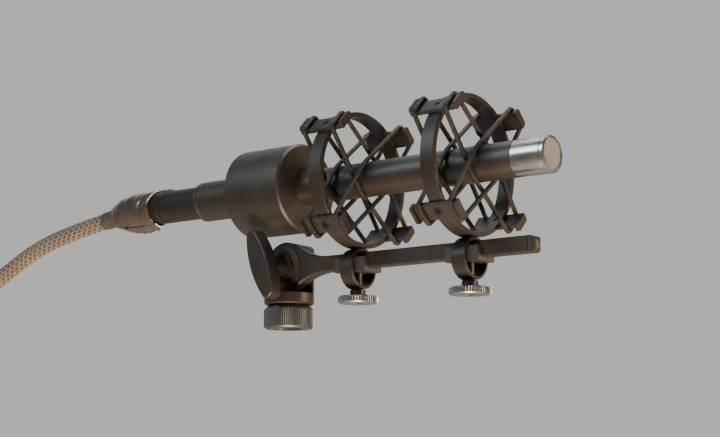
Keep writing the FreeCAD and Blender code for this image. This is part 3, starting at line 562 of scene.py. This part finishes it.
def skin(name, rings, material, closed=True, caps=True):
    """A tube through rings of points, with a UV map: U once round, V metres along."""
    sides = len(rings[0])
    build = bmesh.new()
    uv = build.loops.layers.uv.new("UVMap")
    rows = [[build.verts.new(point) for point in ring] for ring in rings]
    along = [0.0]
    for before, after in zip(rings, rings[1:]):
        along.append(along[-1] + (sum(after, Vector()) - sum(before, Vector())).length / sides)
    for i, (row, ahead) in enumerate(zip(rows, rows[1:])):
        for j in range(sides if closed else sides - 1):
            k = (j + 1) % sides
            face = build.faces.new((row[j], row[k], ahead[k], ahead[j]))
            corners = ((j, i), (j + 1, i), (j + 1, i + 1), (j, i + 1))
            for loop, (across, row_at) in zip(face.loops, corners):
                loop[uv].uv = (across / sides, along[row_at])
            face.smooth = True
    if caps and closed:
        for row in (rows[0], rows[-1]):
            build.faces.new(row)
    bmesh.ops.recalc_face_normals(build, faces=build.faces)
    return built(build, name, material)


def lump(x, y, z):
    """Smooth noise, about -1 to 1."""
    return noise.noise(Vector((x, y, z)))


def round_axis(x, r, turn, z=AXIS_Z):
    """A point so far along, out and round from the microphone's axis."""
    return Vector((x, r * math.cos(turn), z + r * math.sin(turn)))


def thicken(sheet, thickness, offset):
    solid = sheet.modifiers.new("thickness", "SOLIDIFY")
    solid.thickness, solid.offset = thickness, offset


def frames_along(points):
    """A side and an up way at every point of a line, carried along without twisting."""
    ways = [(b - a).normalized() for a, b in zip(points, points[1:])]
    ways.append(ways[-1])
    up = Vector((0, 1, 0)).cross(ways[0])
    if up.length < 0.1:
        up = Vector((1, 0, 0)).cross(ways[0])
    up.normalize()
    found = []
    for i, way in enumerate(ways):
        mean = way if i == 0 else (way + ways[i - 1]).normalized()
        up = (up - mean * up.dot(mean)).normalized()
        found.append((mean.cross(up), up))
    return found


def tube(name, points, radius, sides, material, caps=True):
    """A round tube; radius is a size, or a function of how far along and round."""
    rings, along = [], 0.0
    for i, (point, (side, up)) in enumerate(zip(points, frames_along(points))):
        along += (point - points[i - 1]).length if i else 0.0
        ring = []
        for j in range(sides):
            turn = 2 * math.pi * j / sides
            r = radius(along, turn, i) if callable(radius) else radius
            ring.append(point + side * (r * math.cos(turn)) + up * (r * math.sin(turn)))
        rings.append(ring)
    return skin(name, rings, material, caps=caps)


def turned(name, outline, centre, material, sides=96):
    """Spin a closed outline of (height, radius) points about an upright axis through the centre."""
    build = bmesh.new()
    rows = []
    for height, radius in outline:
        row = []
        for j in range(sides):
            a = 2 * math.pi * j / sides
            spot = Vector((radius * math.cos(a), radius * math.sin(a), height))
            row.append(build.verts.new(spot + Vector(centre)))
        rows.append(row)
    for row, ahead in zip(rows, rows[1:] + rows[:1]):
        for j in range(sides):
            k = (j + 1) % sides
            build.faces.new((row[j], row[k], ahead[k], ahead[j]))
    bmesh.ops.recalc_face_normals(build, faces=build.faces)
    return built(build, name, material)


class Repeats(Graph):
    """A Geometry Nodes tree on one object, with named inputs, baked to a plain mesh."""

    def __init__(self, name, **inputs):
        super().__init__(bpy.data.node_groups.new(name, "GeometryNodeTree"))
        face = self.tree.interface
        face.new_socket("Geometry", in_out="INPUT", socket_type="NodeSocketGeometry")
        face.new_socket("Geometry", in_out="OUTPUT", socket_type="NodeSocketGeometry")
        self.values, self.inputs = {}, {}
        for key, value in inputs.items():
            kind = "NodeSocketInt" if isinstance(value, int) else "NodeSocketFloat"
            socket = face.new_socket(key.replace("_", " "), in_out="INPUT", socket_type=kind)
            self.values[socket.identifier] = value
        group = self.tree.nodes.new("NodeGroupInput")
        self.given = Link(self, group.outputs[0])
        for key, socket in zip(inputs, group.outputs[1:]):
            self.inputs[key] = Link(self, socket)

    def moved(self, geometry, **sockets):
        return self.node("GeometryNodeTransform", None, {"Geometry": geometry, **sockets})

    def joined(self, *links):
        both = self.tree.nodes.new("GeometryNodeJoinGeometry")
        for link in links:
            self.tree.links.new(link.socket, both.inputs[0])
        return Link(self, both.outputs[0])

    def bake(self, made, geometry, material):
        """End the tree, run it on the object, and keep the result as its mesh."""
        whole = self.node("GeometryNodeRealizeInstances", None, (geometry,))
        dressed = {"Geometry": whole, "Material": material}
        whole = self.node("GeometryNodeSetMaterial", None, dressed)
        output = self.tree.nodes.new("NodeGroupOutput")
        self.tree.links.new(whole.socket, output.inputs[0])
        modifier = made.modifiers.new(self.tree.name, "NODES")
        modifier.node_group = self.tree
        for identifier, value in self.values.items():
            modifier[identifier] = value
        bpy.context.view_layer.update()
        evaluated = made.evaluated_get(bpy.context.evaluated_depsgraph_get())
        mesh = bpy.data.meshes.new_from_object(evaluated)
        mesh.name = made.name
        made.modifiers.remove(modifier)
        made.data = mesh
        return made


def knurl(core, centre, radius, low, high, teeth, size, material):
    """Set straight teeth round an upright core."""
    tree = Repeats("knurl", Radius=radius, Low=low, High=high, Tooth=size, Teeth=teeth)
    given = tree.inputs
    rim = tree.node(
        "GeometryNodeMeshCircle", None, {"Vertices": given["Teeth"], "Radius": given["Radius"]}
    )
    tall = given["High"] - given["Low"]
    middle = (given["High"] + given["Low"]) * 0.5
    rim = tree.moved(rim, Translation=tree.vector(centre[0], centre[1], middle))
    tooth = tree.node(
        "GeometryNodeMeshCube", None, {"Size": tree.vector(given["Tooth"], given["Tooth"], tall)}
    )
    tooth = tree.moved(tooth, Rotation=(0, 0, math.pi / 4))
    spot = tree.node("GeometryNodeInputPosition")
    outward = tree.vectors("SUBTRACT", spot, (centre[0], centre[1], 0.0))
    outward = tree.vectors("MULTIPLY", outward, (1.0, 1.0, 0.0))
    turn = tree.node("FunctionNodeAlignRotationToVector", {"axis": "X"}, {"Vector": outward})
    ring = tree.node(
        "GeometryNodeInstanceOnPoints", None,
        {"Points": rim, "Instance": tooth, "Rotation": turn},
    )
    return tree.bake(core, tree.joined(ring, tree.given), material)


# ---------------------------------------------------------------- the pieces


def sizes_of(context):
    return context.scene.microphone_sizes


FINISHES = {}


def finish_of(slot):
    return FINISHES[slot]


class MIC_OT_dress_parts(bpy.types.Operator):
    """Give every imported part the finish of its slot"""

    bl_idname = "microphone.dress_parts"
    bl_label = "Dress the Parts"

    def execute(self, context):
        FINISHES.update(finishes(context.scene.microphone_colours))
        for part in frame["record"]["subparts"]:
            node, finish = frame["nodes"][part["node"]], finish_of(part["material_slot"])
            if node.material_slots:
                for material_slot in node.material_slots:
                    material_slot.material = finish
            else:
                node.data.materials.append(finish)
        return {"FINISHED"}


def coil_centre(sizes):
    fall = math.radians(LEAD_FALL)
    r = sizes.coil_radius + sizes.cable_diameter
    x, z = LEAD[-1]
    return Vector((x * MM + r * math.sin(fall), 0, z * MM - r * math.cos(fall)))


def coil_cell(turn):
    """How far out and to the side a turn of the coil lies, in cable diameters."""
    crossing = min(len(COIL_CELLS) - 2, round((turn - FIRST_CROSSING) / CELL_TURN))
    past = (turn - FIRST_CROSSING - CELL_TURN * crossing) / CROSSING_WIDTH + 0.5
    past = min(1.0, max(0.0, past))
    before, after = COIL_CELLS[max(0, crossing)], COIL_CELLS[crossing + 1]
    return [a + (b - a) * past for a, b in zip(before, after)]


def cable_route(sizes):
    """The points of the cable: its lead, the turns of its coil, and its tail."""
    points = [Vector((x * MM, 0, z * MM)) for x, z in LEAD]
    centre, step = coil_centre(sizes), 360 / COIL_STEPS
    reach = 1 / math.cos(math.radians(step / 2))
    turn = 90 + LEAD_FALL + step
    while turn <= COIL_END:
        out, aside = coil_cell(turn)
        a, r = math.radians(turn), (sizes.coil_radius + out * sizes.cable_diameter) * reach
        lift = Vector((math.cos(a) * r, aside * sizes.cable_diameter, math.sin(a) * r))
        points.append(centre + lift)
        turn += step
    x = centre.x - sizes.coil_radius - sizes.cable_diameter
    for drop_by in (0.015, 0.030, TAIL_DROP * MM):
        points.append(Vector((x, sizes.cable_diameter, centre.z - drop_by)))
    return points


def smooth_line(name, points, resolution):
    """Points along a NURBS curve through the route's control points."""
    curve = bpy.data.curves.new(name, "CURVE")
    curve.dimensions = "3D"
    curve.resolution_u = resolution
    spline = curve.splines.new("NURBS")
    spline.points.add(len(points) - 1)
    for control, point in zip(spline.points, points):
        control.co = (*point, 1)
    spline.order_u = 3
    spline.use_endpoint_u = True
    holder = bpy.data.objects.new(name, curve)
    bpy.context.scene.collection.objects.link(holder)
    bpy.context.view_layer.update()
    mesh = bpy.data.meshes.new_from_object(
        holder.evaluated_get(bpy.context.evaluated_depsgraph_get())
    )
    line = [vertex.co.copy() for vertex in mesh.vertices]
    bpy.data.objects.remove(holder)
    bpy.data.meshes.remove(mesh)
    return line


def thinned(line, step_at):
    """The line's points, no closer than a step that depends on how far along they are."""
    kept, along = [line[0]], 0.0
    for point in line[1:-1]:
        if (point - kept[-1]).length >= step_at(along):
            along += (point - kept[-1]).length
            kept.append(point)
    return kept + [line[-1]]


def braid_radius(radius, until):
    """Yarns that stand out of the cable where it is seen closely."""

    def at(along, turn, _):
        if along > until:
            return radius
        around = BRAID_STRANDS * turn / (2 * math.pi)
        left, right = around + along / BRAID_LAY, around - along / BRAID_LAY
        one, other = abs(math.sin(left * math.pi)), abs(math.sin(right * math.pi))
        fade = min(1.0, (until - along) / 0.01, along / 0.002)
        return radius + BRAID_HEIGHT * fade * (one * other - 0.5)

    return at


class MIC_OT_cable(bpy.types.Operator):
    """The braided cable, its coil with a tie, and the far plug's ribbed boot"""

    bl_idname = "microphone.cable"
    bl_label = "Cable"

    def execute(self, context):
        sizes = sizes_of(context)
        line = smooth_line("cable_route", cable_route(sizes), 48)
        line = thinned(line, lambda along: 0.0006 if along < LEAD_SEEN else 0.0040)
        cable = tube(
            "braided_cable", line, braid_radius(sizes.cable_diameter / 2, LEAD_SEEN), 72,
            finish_of("cable_braid"),
        )
        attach(cable, "plug")
        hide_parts("cord_lead", "cord_coil", "cord_tail")
        boot, tie = self.boot(), self.tie(sizes)
        return {"FINISHED"}

    def boot(self):
        """Tapered rubber with ribs round it."""
        low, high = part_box("far_plug_boot")
        x, y = (low[0] + high[0]) / 2, (low[1] + high[1]) / 2
        wide, tall = (high[0] - low[0]) / 2, high[2] - low[2]
        bore, ribs, outline = 0.0051, 7, []
        for i in range(ribs):
            for part, out in ((0.08, 0.0), (0.22, 1.0), (0.62, 1.0), (0.76, 0.0)):
                rise = (i + part) / ribs
                skirt = wide - rise * 0.0013
                outline.append((rise * tall, skirt - 0.0008 * (1 - out)))
        outline += [(tall, bore), (0.0, bore)]
        boot = turned("ribbed_boot", outline, (x, y, low[2]), finish_of("black_plastic"), 48)
        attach(boot, "plug")
        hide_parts("far_plug_boot")
        return boot

    def tie(self, sizes):
        """A napped strap wound once and a quarter round the bundle."""
        centre, fall = coil_centre(sizes), math.radians(LEAD_FALL)
        half, width, ply = 0.0162, 0.016, 0.0011
        outward = Vector((-math.sin(fall), 0, math.cos(fall)))
        along = Vector((math.cos(fall), 0, math.sin(fall)))
        middle = centre + outward * sizes.coil_radius
        rings, steps, lapped = [], 96, 24
        for i in range(steps + lapped):
            turn = 2 * math.pi * i / steps
            rise = max(0, (i + lapped - steps) / lapped) * 0.6
            lift = half + (ply if i >= steps else ply * rise)
            lean = abs(math.cos(turn)) ** 6 + abs(math.sin(turn)) ** 6
            r = lift / lean ** (1 / 6)
            spot = middle + outward * (r * math.sin(turn)) + Vector((0, r * math.cos(turn), 0))
            rings.append([spot + along * (width * (j / 4 - 0.5)) for j in range(5)])
        tie = skin("coil_strap", rings, finish_of("hook_strap"), closed=False, caps=False)
        thicken(tie, 0.0010, 1.0)
        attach(tie, "plug")
        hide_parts("coil_tie")
        return tie


class MIC_OT_tape(bpy.types.Operator):
    """The wound tape, its torn edges, and the shrunk sleeve behind it"""

    bl_idname = "microphone.tape"
    bl_label = "Tape and Sleeve"

    steps, sides, mouth, strip_cells = 110, 72, 5.8, 6

    def execute(self, context):
        rear = TAPE_REAR[0] * MM - 0.001
        rings = []
        for i in range(self.steps + 1):
            part = i / self.steps
            rings.append(self.ring(TAPE_FRONT + (rear - TAPE_FRONT) * part, part))
        inner = [self.ring(rear, 1.0, self.mouth)]
        wrap = skin("wound_tape", rings + inner, finish_of("tape"), caps=False)
        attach(wrap, "plug")
        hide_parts("tape_wrap")
        self.strip("tape_sliver", 40, self.sliver)
        self.strip("tape_lip", 60, self.lip)
        self.sleeve()
        return {"FINISHED"}

    def core(self, part):
        """The wrap's radius and height over what is under it, in millimetres."""
        top, end = AXIS_Z / MM, TAPE_REAR[1]
        stations = (
            (0.0, 10.0, top), (0.05, 10.5, top), (0.30, 10.7, top), (0.55, 10.5, top - 0.1),
            (0.78, 9.6, top - 0.6), (0.90, 8.4, end + 0.4), (1.0, 6.9, end),
        )
        for (a, r0, z0), (b, r1, z1) in zip(stations, stations[1:]):
            if part <= b:
                t = (part - a) / (b - a)
                return r0 + (r1 - r0) * t, z0 + (z1 - z0) * t

    def ring(self, x, part, fixed=None):
        """One ring of the wrap, with its overlap, creases, a folded arc and torn ends."""
        base, z = self.core(part)
        ring = []
        for j in range(self.sides):
            turn = 2 * math.pi * j / self.sides
            y_way, z_way = math.cos(turn), math.sin(turn)
            lap = ((x + turn * TAPE_SLANT) / TAPE_LAP) % 1.0
            crease = lump(x * 260, y_way * 1.4, z_way * 1.4)
            fold = lump(x * 80 + 7, y_way * 0.9, z_way * 0.9)
            arc = math.hypot((x - TAPE_FRONT) / MM - 2.0, (turn - 3.2) * base) - 11.0
            ridge = math.exp(-((arc / 0.8) ** 2)) * (x < TAPE_FRONT) * (turn < 3.9)
            r = base + 0.25 * min(1.0, 6 * (1 - lap)) + 0.20 * crease
            r = (r + 0.35 * fold + 0.45 * ridge - 0.2 if fixed is None else fixed) * MM
            ragged = 0.0012 * lump(y_way * 3, z_way * 3, part * 5)
            torn = max(0.0, 1 - part * 30) + max(0.0, part * 25 - 24)
            ring.append(round_axis(x + ragged * torn, r, turn, z * MM))
        return ring

    def sliver(self, t, s):
        """A torn sliver that has curled up over the plug and ends in a tuft."""
        tuft = max(0.0, t - 0.82) / 0.18
        s = s * 2 - 1
        turn = math.radians(188 - 86 * t)
        half = 0.0005 + 0.0003 * t + 0.0009 * math.sin(math.pi * tuft)
        curl = 0.0003 * s * s + 0.0004 * (0.3 + tuft) * lump(t * 14, s * 2, 1)
        r = 0.0107 + 0.0004 * t + 0.0016 * tuft**1.5 + curl
        x = TAPE_FRONT - 0.0012 + 0.0072 * t**1.4 + s * half
        return round_axis(x, r, turn)

    def lip(self, t, s):
        """A loose lip along the wrap's underside."""
        turn = math.radians(246 + 40 * s)
        reach = math.sin(math.pi * (0.04 + 0.92 * t)) ** 0.5
        torn = 0.5 * lump(t * 13, 3, 5) + 0.2 * lump(t * 41, 3, 5)
        r = 0.0104 + 0.0026 * s * reach * (1 + torn) - 0.0024 * max(0.0, t - 0.55)
        x = TAPE_FRONT + 0.0015 - 0.029 * t
        return round_axis(x, r, turn, AXIS_Z - 0.0012 * t)

    def strip(self, name, steps, spot):
        """A thin piece of tape: spot places a point from how far along and across it is."""
        cells = self.strip_cells
        rows = [[spot(i / steps, j / cells) for j in range(cells + 1)] for i in range(steps + 1)]
        piece = skin(name, rows, finish_of("tape"), closed=False, caps=False)
        thicken(piece, 0.00022, 0.0)
        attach(piece, "plug")

    def sleeve(self):
        """Shrunk sleeving, narrowing on to the cable and drawn in over what it covers."""
        (x0, z0), (x1, z1) = TAPE_REAR, LEAD[0]
        rings, steps, sides = [], 60, 56
        for i in range(steps + 1):
            t = i / steps
            x, z = x0 + 1.2 + (x1 - x0 - 1.2) * t, z0 + (z1 - z0) * t
            base = 6.75 - 1.1 * min(1, t * 2.2) ** 0.7 - 0.25 * t
            ring = []
            for j in range(sides):
                turn = 2 * math.pi * j / sides
                pull = lump(x * 0.5, math.cos(turn), math.sin(turn))
                r = (base + 0.22 * pull + 0.08 * math.sin(x * 2.4)) * MM
                ragged = 0.5 * lump(math.cos(turn) * 2.5, math.sin(turn) * 2.5, 9)
                shift = ragged * max(0, 1 - 8 * (1 - t))
                ring.append(round_axis((x - 0.1 - shift) * MM, r, turn, z * MM))
            rings.append(ring)
        lip = [
            Vector(((x1 + 1.0) * MM, point.y * 0.86, z1 * MM + (point.z - z1 * MM) * 0.86))
            for point in rings[-1]
        ]
        sleeve = skin("shrunk_sleeve", rings + [lip], finish_of("shrink"), caps=False)
        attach(sleeve, "plug")
        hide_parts("heat_shrink")


class MIC_OT_elastics(bpy.types.Operator):
    """The covered elastics, crossed in pairs between the clips and the body tube"""

    bl_idname = "microphone.elastics"
    bl_label = "Elastics"

    # Millimetres: from the hoop's middle to a pair, between a pair's two, and the clips' section.
    plane, lean_apart, clip_thick, clip_width, clip_round = 9.5, 1.3, 1.8, 10.5, 1.0
    tube_radius, slack, off_tube = 9.5, 0.15, 0.3

    def execute(self, context):
        d = sizes_of(context).elastic_diameter / MM
        for angle in CLIP_ANGLES:
            halves = []
            for side in (-1, 1):
                halves.append(self.half("rear_elastic", REAR_X / MM, side, angle, d))
            piece = self.joined(f"rear_elastic_{angle:.0f}", halves)
            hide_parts("rear_elastics")
            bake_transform(piece)
        front = [
            self.half("front_elastic", FRONT_X / MM, side, angle, d)
            for angle in CLIP_ANGLES for side in (-1, 1)
        ]
        piece = self.joined("front_elastic_set", front)
        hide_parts("front_elastics")
        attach(piece, "front_mount")
        return {"FINISHED"}

    def half(self, name, x, side, angle, d):
        """One elastic's half: up one side of the tube, over a clip, and down the other."""
        r, slack = d / 2, self.slack
        lean_way = 1 if angle % 180 < 90 else -1
        x = x + side * self.plane + lean_way * self.lean_apart
        corner_r = self.clip_round + slack + r
        corner_t = self.clip_width / 2 + slack + r - corner_r
        corner_s = HOOP_R / MM + self.clip_thick + slack + r - corner_r
        hug = self.tube_radius + self.off_tube + r
        lean = math.atan2(corner_s, corner_t)
        lean -= math.acos((hug - corner_r) / math.hypot(corner_t, corner_s))
        quarter = []
        for i in range(5):
            a = lean * i / 4
            quarter.append((hug * math.cos(a), hug * math.sin(a)))
        start_t, start_s = quarter[-1]
        end_t = corner_t + corner_r * math.cos(lean)
        end_s = corner_s + corner_r * math.sin(lean)
        for i in range(1, 14):
            p = i / 14
            quarter.append((start_t + (end_t - start_t) * p, start_s + (end_s - start_s) * p))
        for i in range(9):
            a = lean + (math.pi / 2 - lean) * i / 8
            quarter.append((corner_t + corner_r * math.cos(a), corner_s + corner_r * math.sin(a)))
        way = quarter + [(-t, s) for t, s in reversed(quarter)]
        turn = math.radians(angle)
        points = [
            Vector((
                x,
                s * math.cos(turn) - t * math.sin(turn),
                AXIS_Z / MM + s * math.sin(turn) + t * math.cos(turn),
            )) * MM
            for t, s in way
        ]
        return tube(name, points, r * MM, 14, finish_of("elastic_cord"), caps=False)

    def joined(self, name, pieces):
        build = bmesh.new()
        for piece in pieces:
            build.from_mesh(piece.data)
            bpy.data.objects.remove(piece)
        return built(build, name, finish_of("elastic_cord"))


class MIC_OT_knurled_parts(bpy.types.Operator):
    """The knurled stand ring and the two knurled thumbscrew wheels"""

    bl_idname = "microphone.knurled_parts"
    bl_label = "Knurled Parts"

    def execute(self, context):
        sizes = sizes_of(context)
        stand = ("satin_black", 0.00745, 0.0010, 0.0024, sizes.stand_ring_teeth)
        thumb = ("knurled_steel", 0.0026, 0.0006, 0.0007, sizes.thumbscrew_teeth)
        wheels = (
            ("stand_ring", "stand_ring", *stand),
            ("rear_thumb_knob", "rear_thumbscrew", *thumb),
            ("front_thumb_knob", "front_thumbscrew", *thumb),
        )
        for node, body, slot, bore, foot, shoulder, teeth in wheels:
            low, high = (Vector(corner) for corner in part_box(node))
            centre, radius, tall = (low + high) / 2, (high.x - low.x) / 2, high.z - low.z
            size = 2 * math.pi * radius / teeth * 0.72
            root = radius - size * 0.55
            outline = [
                (0.0, bore),
                (0.0, root - foot),
                (foot * 0.5, root - foot * 0.35),
                (foot, root),
                (tall - shoulder, root),
                (tall - shoulder * 0.5, root - shoulder * 0.35),
                (tall, root - shoulder),
                (tall, bore),
            ]
            if node != "stand_ring":
                dish = tall - 0.0003
                outline[-1:] = [(tall, root - 0.0024), (dish, root - 0.0028), (dish, bore)]
            else:
                outline[-1:] = [(tall, 0.00955), (0.008, 0.00955), (0.008, bore)]
            finish = finish_of(slot)
            core = turned(node + "_knurled", outline, (centre.x, centre.y, low.z), finish)
            seat = radius - size * 0.707
            knurl(core, centre, seat, low.z + foot, high.z - shoulder, teeth, size, finish)
            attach(core, body)
            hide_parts(node)
        return {"FINISHED"}


class MIC_OT_grille(bpy.types.Operator):
    """Woven wires in the head's mouth"""

    bl_idname = "microphone.grille"
    bl_label = "Grille"

    def execute(self, context):
        sizes = sizes_of(context)
        low, high = (Vector(corner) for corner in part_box("head_mesh"))
        middle, reach = (low + high) / 2, (high.z - low.z) / 2
        count = int(2 * reach / sizes.grille_pitch) + 1
        seed = bpy.data.meshes.new("woven_grille")
        grille = new_object("woven_grille", seed, finish_of("grille_mesh"))
        tree = Repeats("weave", Wire=sizes.grille_wire, Reach=reach, Wires=count)
        given = tree.inputs
        wires = [self.wires(tree, given, across) for across in (0, 1)]
        stood = tree.moved(
            tree.joined(*wires), Rotation=(0, math.pi / 2, 0), Translation=tuple(middle)
        )
        tree.bake(grille, stood, finish_of("grille_mesh"))
        for face in grille.data.polygons:
            face.use_smooth = True
        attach(grille, "microphone")
        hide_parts("head_mesh")
        return {"FINISHED"}

    def wires(self, tree, given, across):
        """One set of parallel wires, waved over and under the other set, cut to the disc."""
        reach = given["Reach"]
        start = reach * -1.0
        line = tree.node(
            "GeometryNodeMeshLine", {"mode": "END_POINTS"},
            {"Count": 140, "Start Location": tree.vector(start), "Offset": tree.vector(reach)},
        )
        feet = tree.node(
            "GeometryNodeMeshLine", {"mode": "END_POINTS"},
            {
                "Count": given["Wires"],
                "Start Location": tree.vector(0.0, start),
                "Offset": tree.vector(0.0, reach),
            },
        )
        rows = tree.node("GeometryNodeInstanceOnPoints", None, {"Points": feet, "Instance": line})
        rows = tree.node("GeometryNodeRealizeInstances", None, (rows,))
        spot = tree.node("GeometryNodeInputPosition")
        x, y, _ = tree.split(spot)
        gap = reach * 2 / (given["Wires"] - 1)
        row = tree.node("ShaderNodeMath", {"operation": "ROUND"}, ((y + reach) / gap,))
        side = row.wrapped(2.0) * 2 - 1
        wave = tree.node("ShaderNodeMath", {"operation": "COSINE"}, ((x + reach) / gap * math.pi,))
        rise = wave * side * given["Wire"] * (0.5 if across else -0.5)
        waved = {"Geometry": rows, "Offset": tree.vector(0.0, 0.0, rise)}
        rows = tree.node("GeometryNodeSetPosition", None, waved)
        outside = tree.vectors("LENGTH", tree.vector(x, y), out="Value").over(reach)
        cut = {"Geometry": rows, "Selection": outside}
        rows = tree.node("GeometryNodeDeleteGeometry", {"domain": "POINT"}, cut)
        path = tree.node("GeometryNodeMeshToCurve", None, (rows,))
        section = {"Resolution": 6, "Radius": given["Wire"] * 0.5}
        profile = tree.node("GeometryNodeCurvePrimitiveCircle", None, section)
        swept = {"Curve": path, "Profile Curve": profile}
        wires = tree.node("GeometryNodeCurveToMesh", None, swept)
        turn = (0, 0, math.pi / 2) if across else (0, 0, 0)
        return tree.moved(wires, Rotation=turn)


class MIC_OT_stage(bpy.types.Operator):
    """A pale floor, soft lights and the camera"""

    bl_idname = "microphone.stage"
    bl_label = "Stage"

    def execute(self, context):
        colours = context.scene.microphone_colours
        pale = Finish("pale_floor", Roughness=0.9)
        cloud = pale.grain(1.2, 3)
        pale.feed(Base_Color=pale.tint(cloud, tuple(colours.backdrop), 0.97, 1.03))
        low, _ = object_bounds()
        outline = [(0.0, 0.001), (0.0, 7.0), (-0.02, 7.0), (-0.02, 0.001)]
        floor = turned("floor", outline, (0, 0, low[2] - 0.62), pale.material)
        floor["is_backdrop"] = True
        self.sky(context, colours)
        self.lights()
        self.camera(context)
        return {"FINISHED"}

    def sky(self, context, colours):
        """Pale on the side the camera looks to, and a dim room on the other."""
        world = bpy.data.worlds.new("surround")
        context.scene.world = world
        world.use_nodes = True
        graph = Graph(world.node_tree)
        graph.tree.nodes.clear()
        way = graph.node("ShaderNodeTexCoord", out="Generated")
        across, deep, _ = graph.split(way)
        tone = tuple(colours.backdrop)
        dim, pale = (tuple(part * times for part in tone) for times in (0.24, 0.95))
        heading = math.radians(CAMERA_HEADING)
        ahead = across * math.cos(heading) + deep * math.sin(heading)
        shade = graph.node(
            "ShaderNodeValToRGB", {"stops": ((0.70, dim), (0.86, pale))}, (ahead * 0.5 + 0.5,)
        )
        light = graph.node("ShaderNodeBackground", None, {"Color": shade, "Strength": 0.8})
        output = graph.tree.nodes.new("ShaderNodeOutputWorld")
        graph.tree.links.new(light.socket, output.inputs[0])

    def lights(self):
        aim = Vector((-0.02, 0, 0.06))
        warm, cool, plain = (1.0, 0.70, 0.44), (0.78, 0.90, 1.0), (0.95, 0.97, 1.0)
        lamps = (
            ("warm_key", (0.36, -0.42, -0.72), 0.26, 22.0, warm),
            ("cool_fill", (-0.30, -0.95, 0.75), 0.55, 9.0, cool),
            ("top_soft", (0.0, 0.2, 1.2), 0.9, 14.0, plain),
            ("warm_rim", (0.85, 0.35, -0.10), 0.35, 11.0, warm),
        )
        for name, place, size, power, tone in lamps:
            lamp = bpy.data.lights.new(name, "AREA")
            lamp.size, lamp.energy, lamp.color = size, power, tone
            stand = bpy.data.objects.new(name, lamp)
            bpy.context.scene.collection.objects.link(stand)
            stand.location = place
            stand.rotation_euler = (aim - Vector(place)).to_track_quat("-Z", "Y").to_euler()

    def camera(self, context):
        """Low, to the front and to the microphone's right."""
        lens = bpy.data.cameras.new("camera")
        lens.lens = sizes_of(context).lens
        lens.clip_start = 0.01
        camera = bpy.data.objects.new("camera", lens)
        context.scene.collection.objects.link(camera)
        camera.location = CAMERA_AT
        heading, pitch = math.radians(CAMERA_HEADING), math.radians(CAMERA_PITCH)
        camera.rotation_euler = (math.pi / 2 + pitch, 0, heading - math.pi / 2)
        context.scene.camera = camera


class MIC_PT_panel(bpy.types.Panel):
    """Sizes, colours and steps of the microphone"""

    bl_label = "Ribbon Microphone"
    bl_idname = "MIC_PT_panel"
    bl_space_type = "VIEW_3D"
    bl_region_type = "UI"
    bl_category = "Microphone"

    def draw(self, context):
        for group in (context.scene.microphone_sizes, context.scene.microphone_colours):
            box = self.layout.box()
            for name in group.__annotations__:
                box.prop(group, name)
        for step in STEPS:
            self.layout.operator(step.bl_idname)


STEPS = (
    MIC_OT_dress_parts,
    MIC_OT_cable,
    MIC_OT_tape,
    MIC_OT_elastics,
    MIC_OT_knurled_parts,
    MIC_OT_grille,
    MIC_OT_stage,
)
CLASSES = (MicrophoneSizes, MicrophoneColours, *STEPS, MIC_PT_panel)


def register():
    for kind in CLASSES:
        bpy.utils.register_class(kind)
    bpy.types.Scene.microphone_sizes = PointerProperty(type=MicrophoneSizes)
    bpy.types.Scene.microphone_colours = PointerProperty(type=MicrophoneColours)


def unregister():
    del bpy.types.Scene.microphone_colours
    del bpy.types.Scene.microphone_sizes
    for kind in reversed(CLASSES):
        bpy.utils.unregister_class(kind)


def main():
    register()
    for step in STEPS:
        group, name = step.bl_idname.split(".")
        getattr(getattr(bpy.ops, group), name)()


if __name__ == "__main__":
    main()
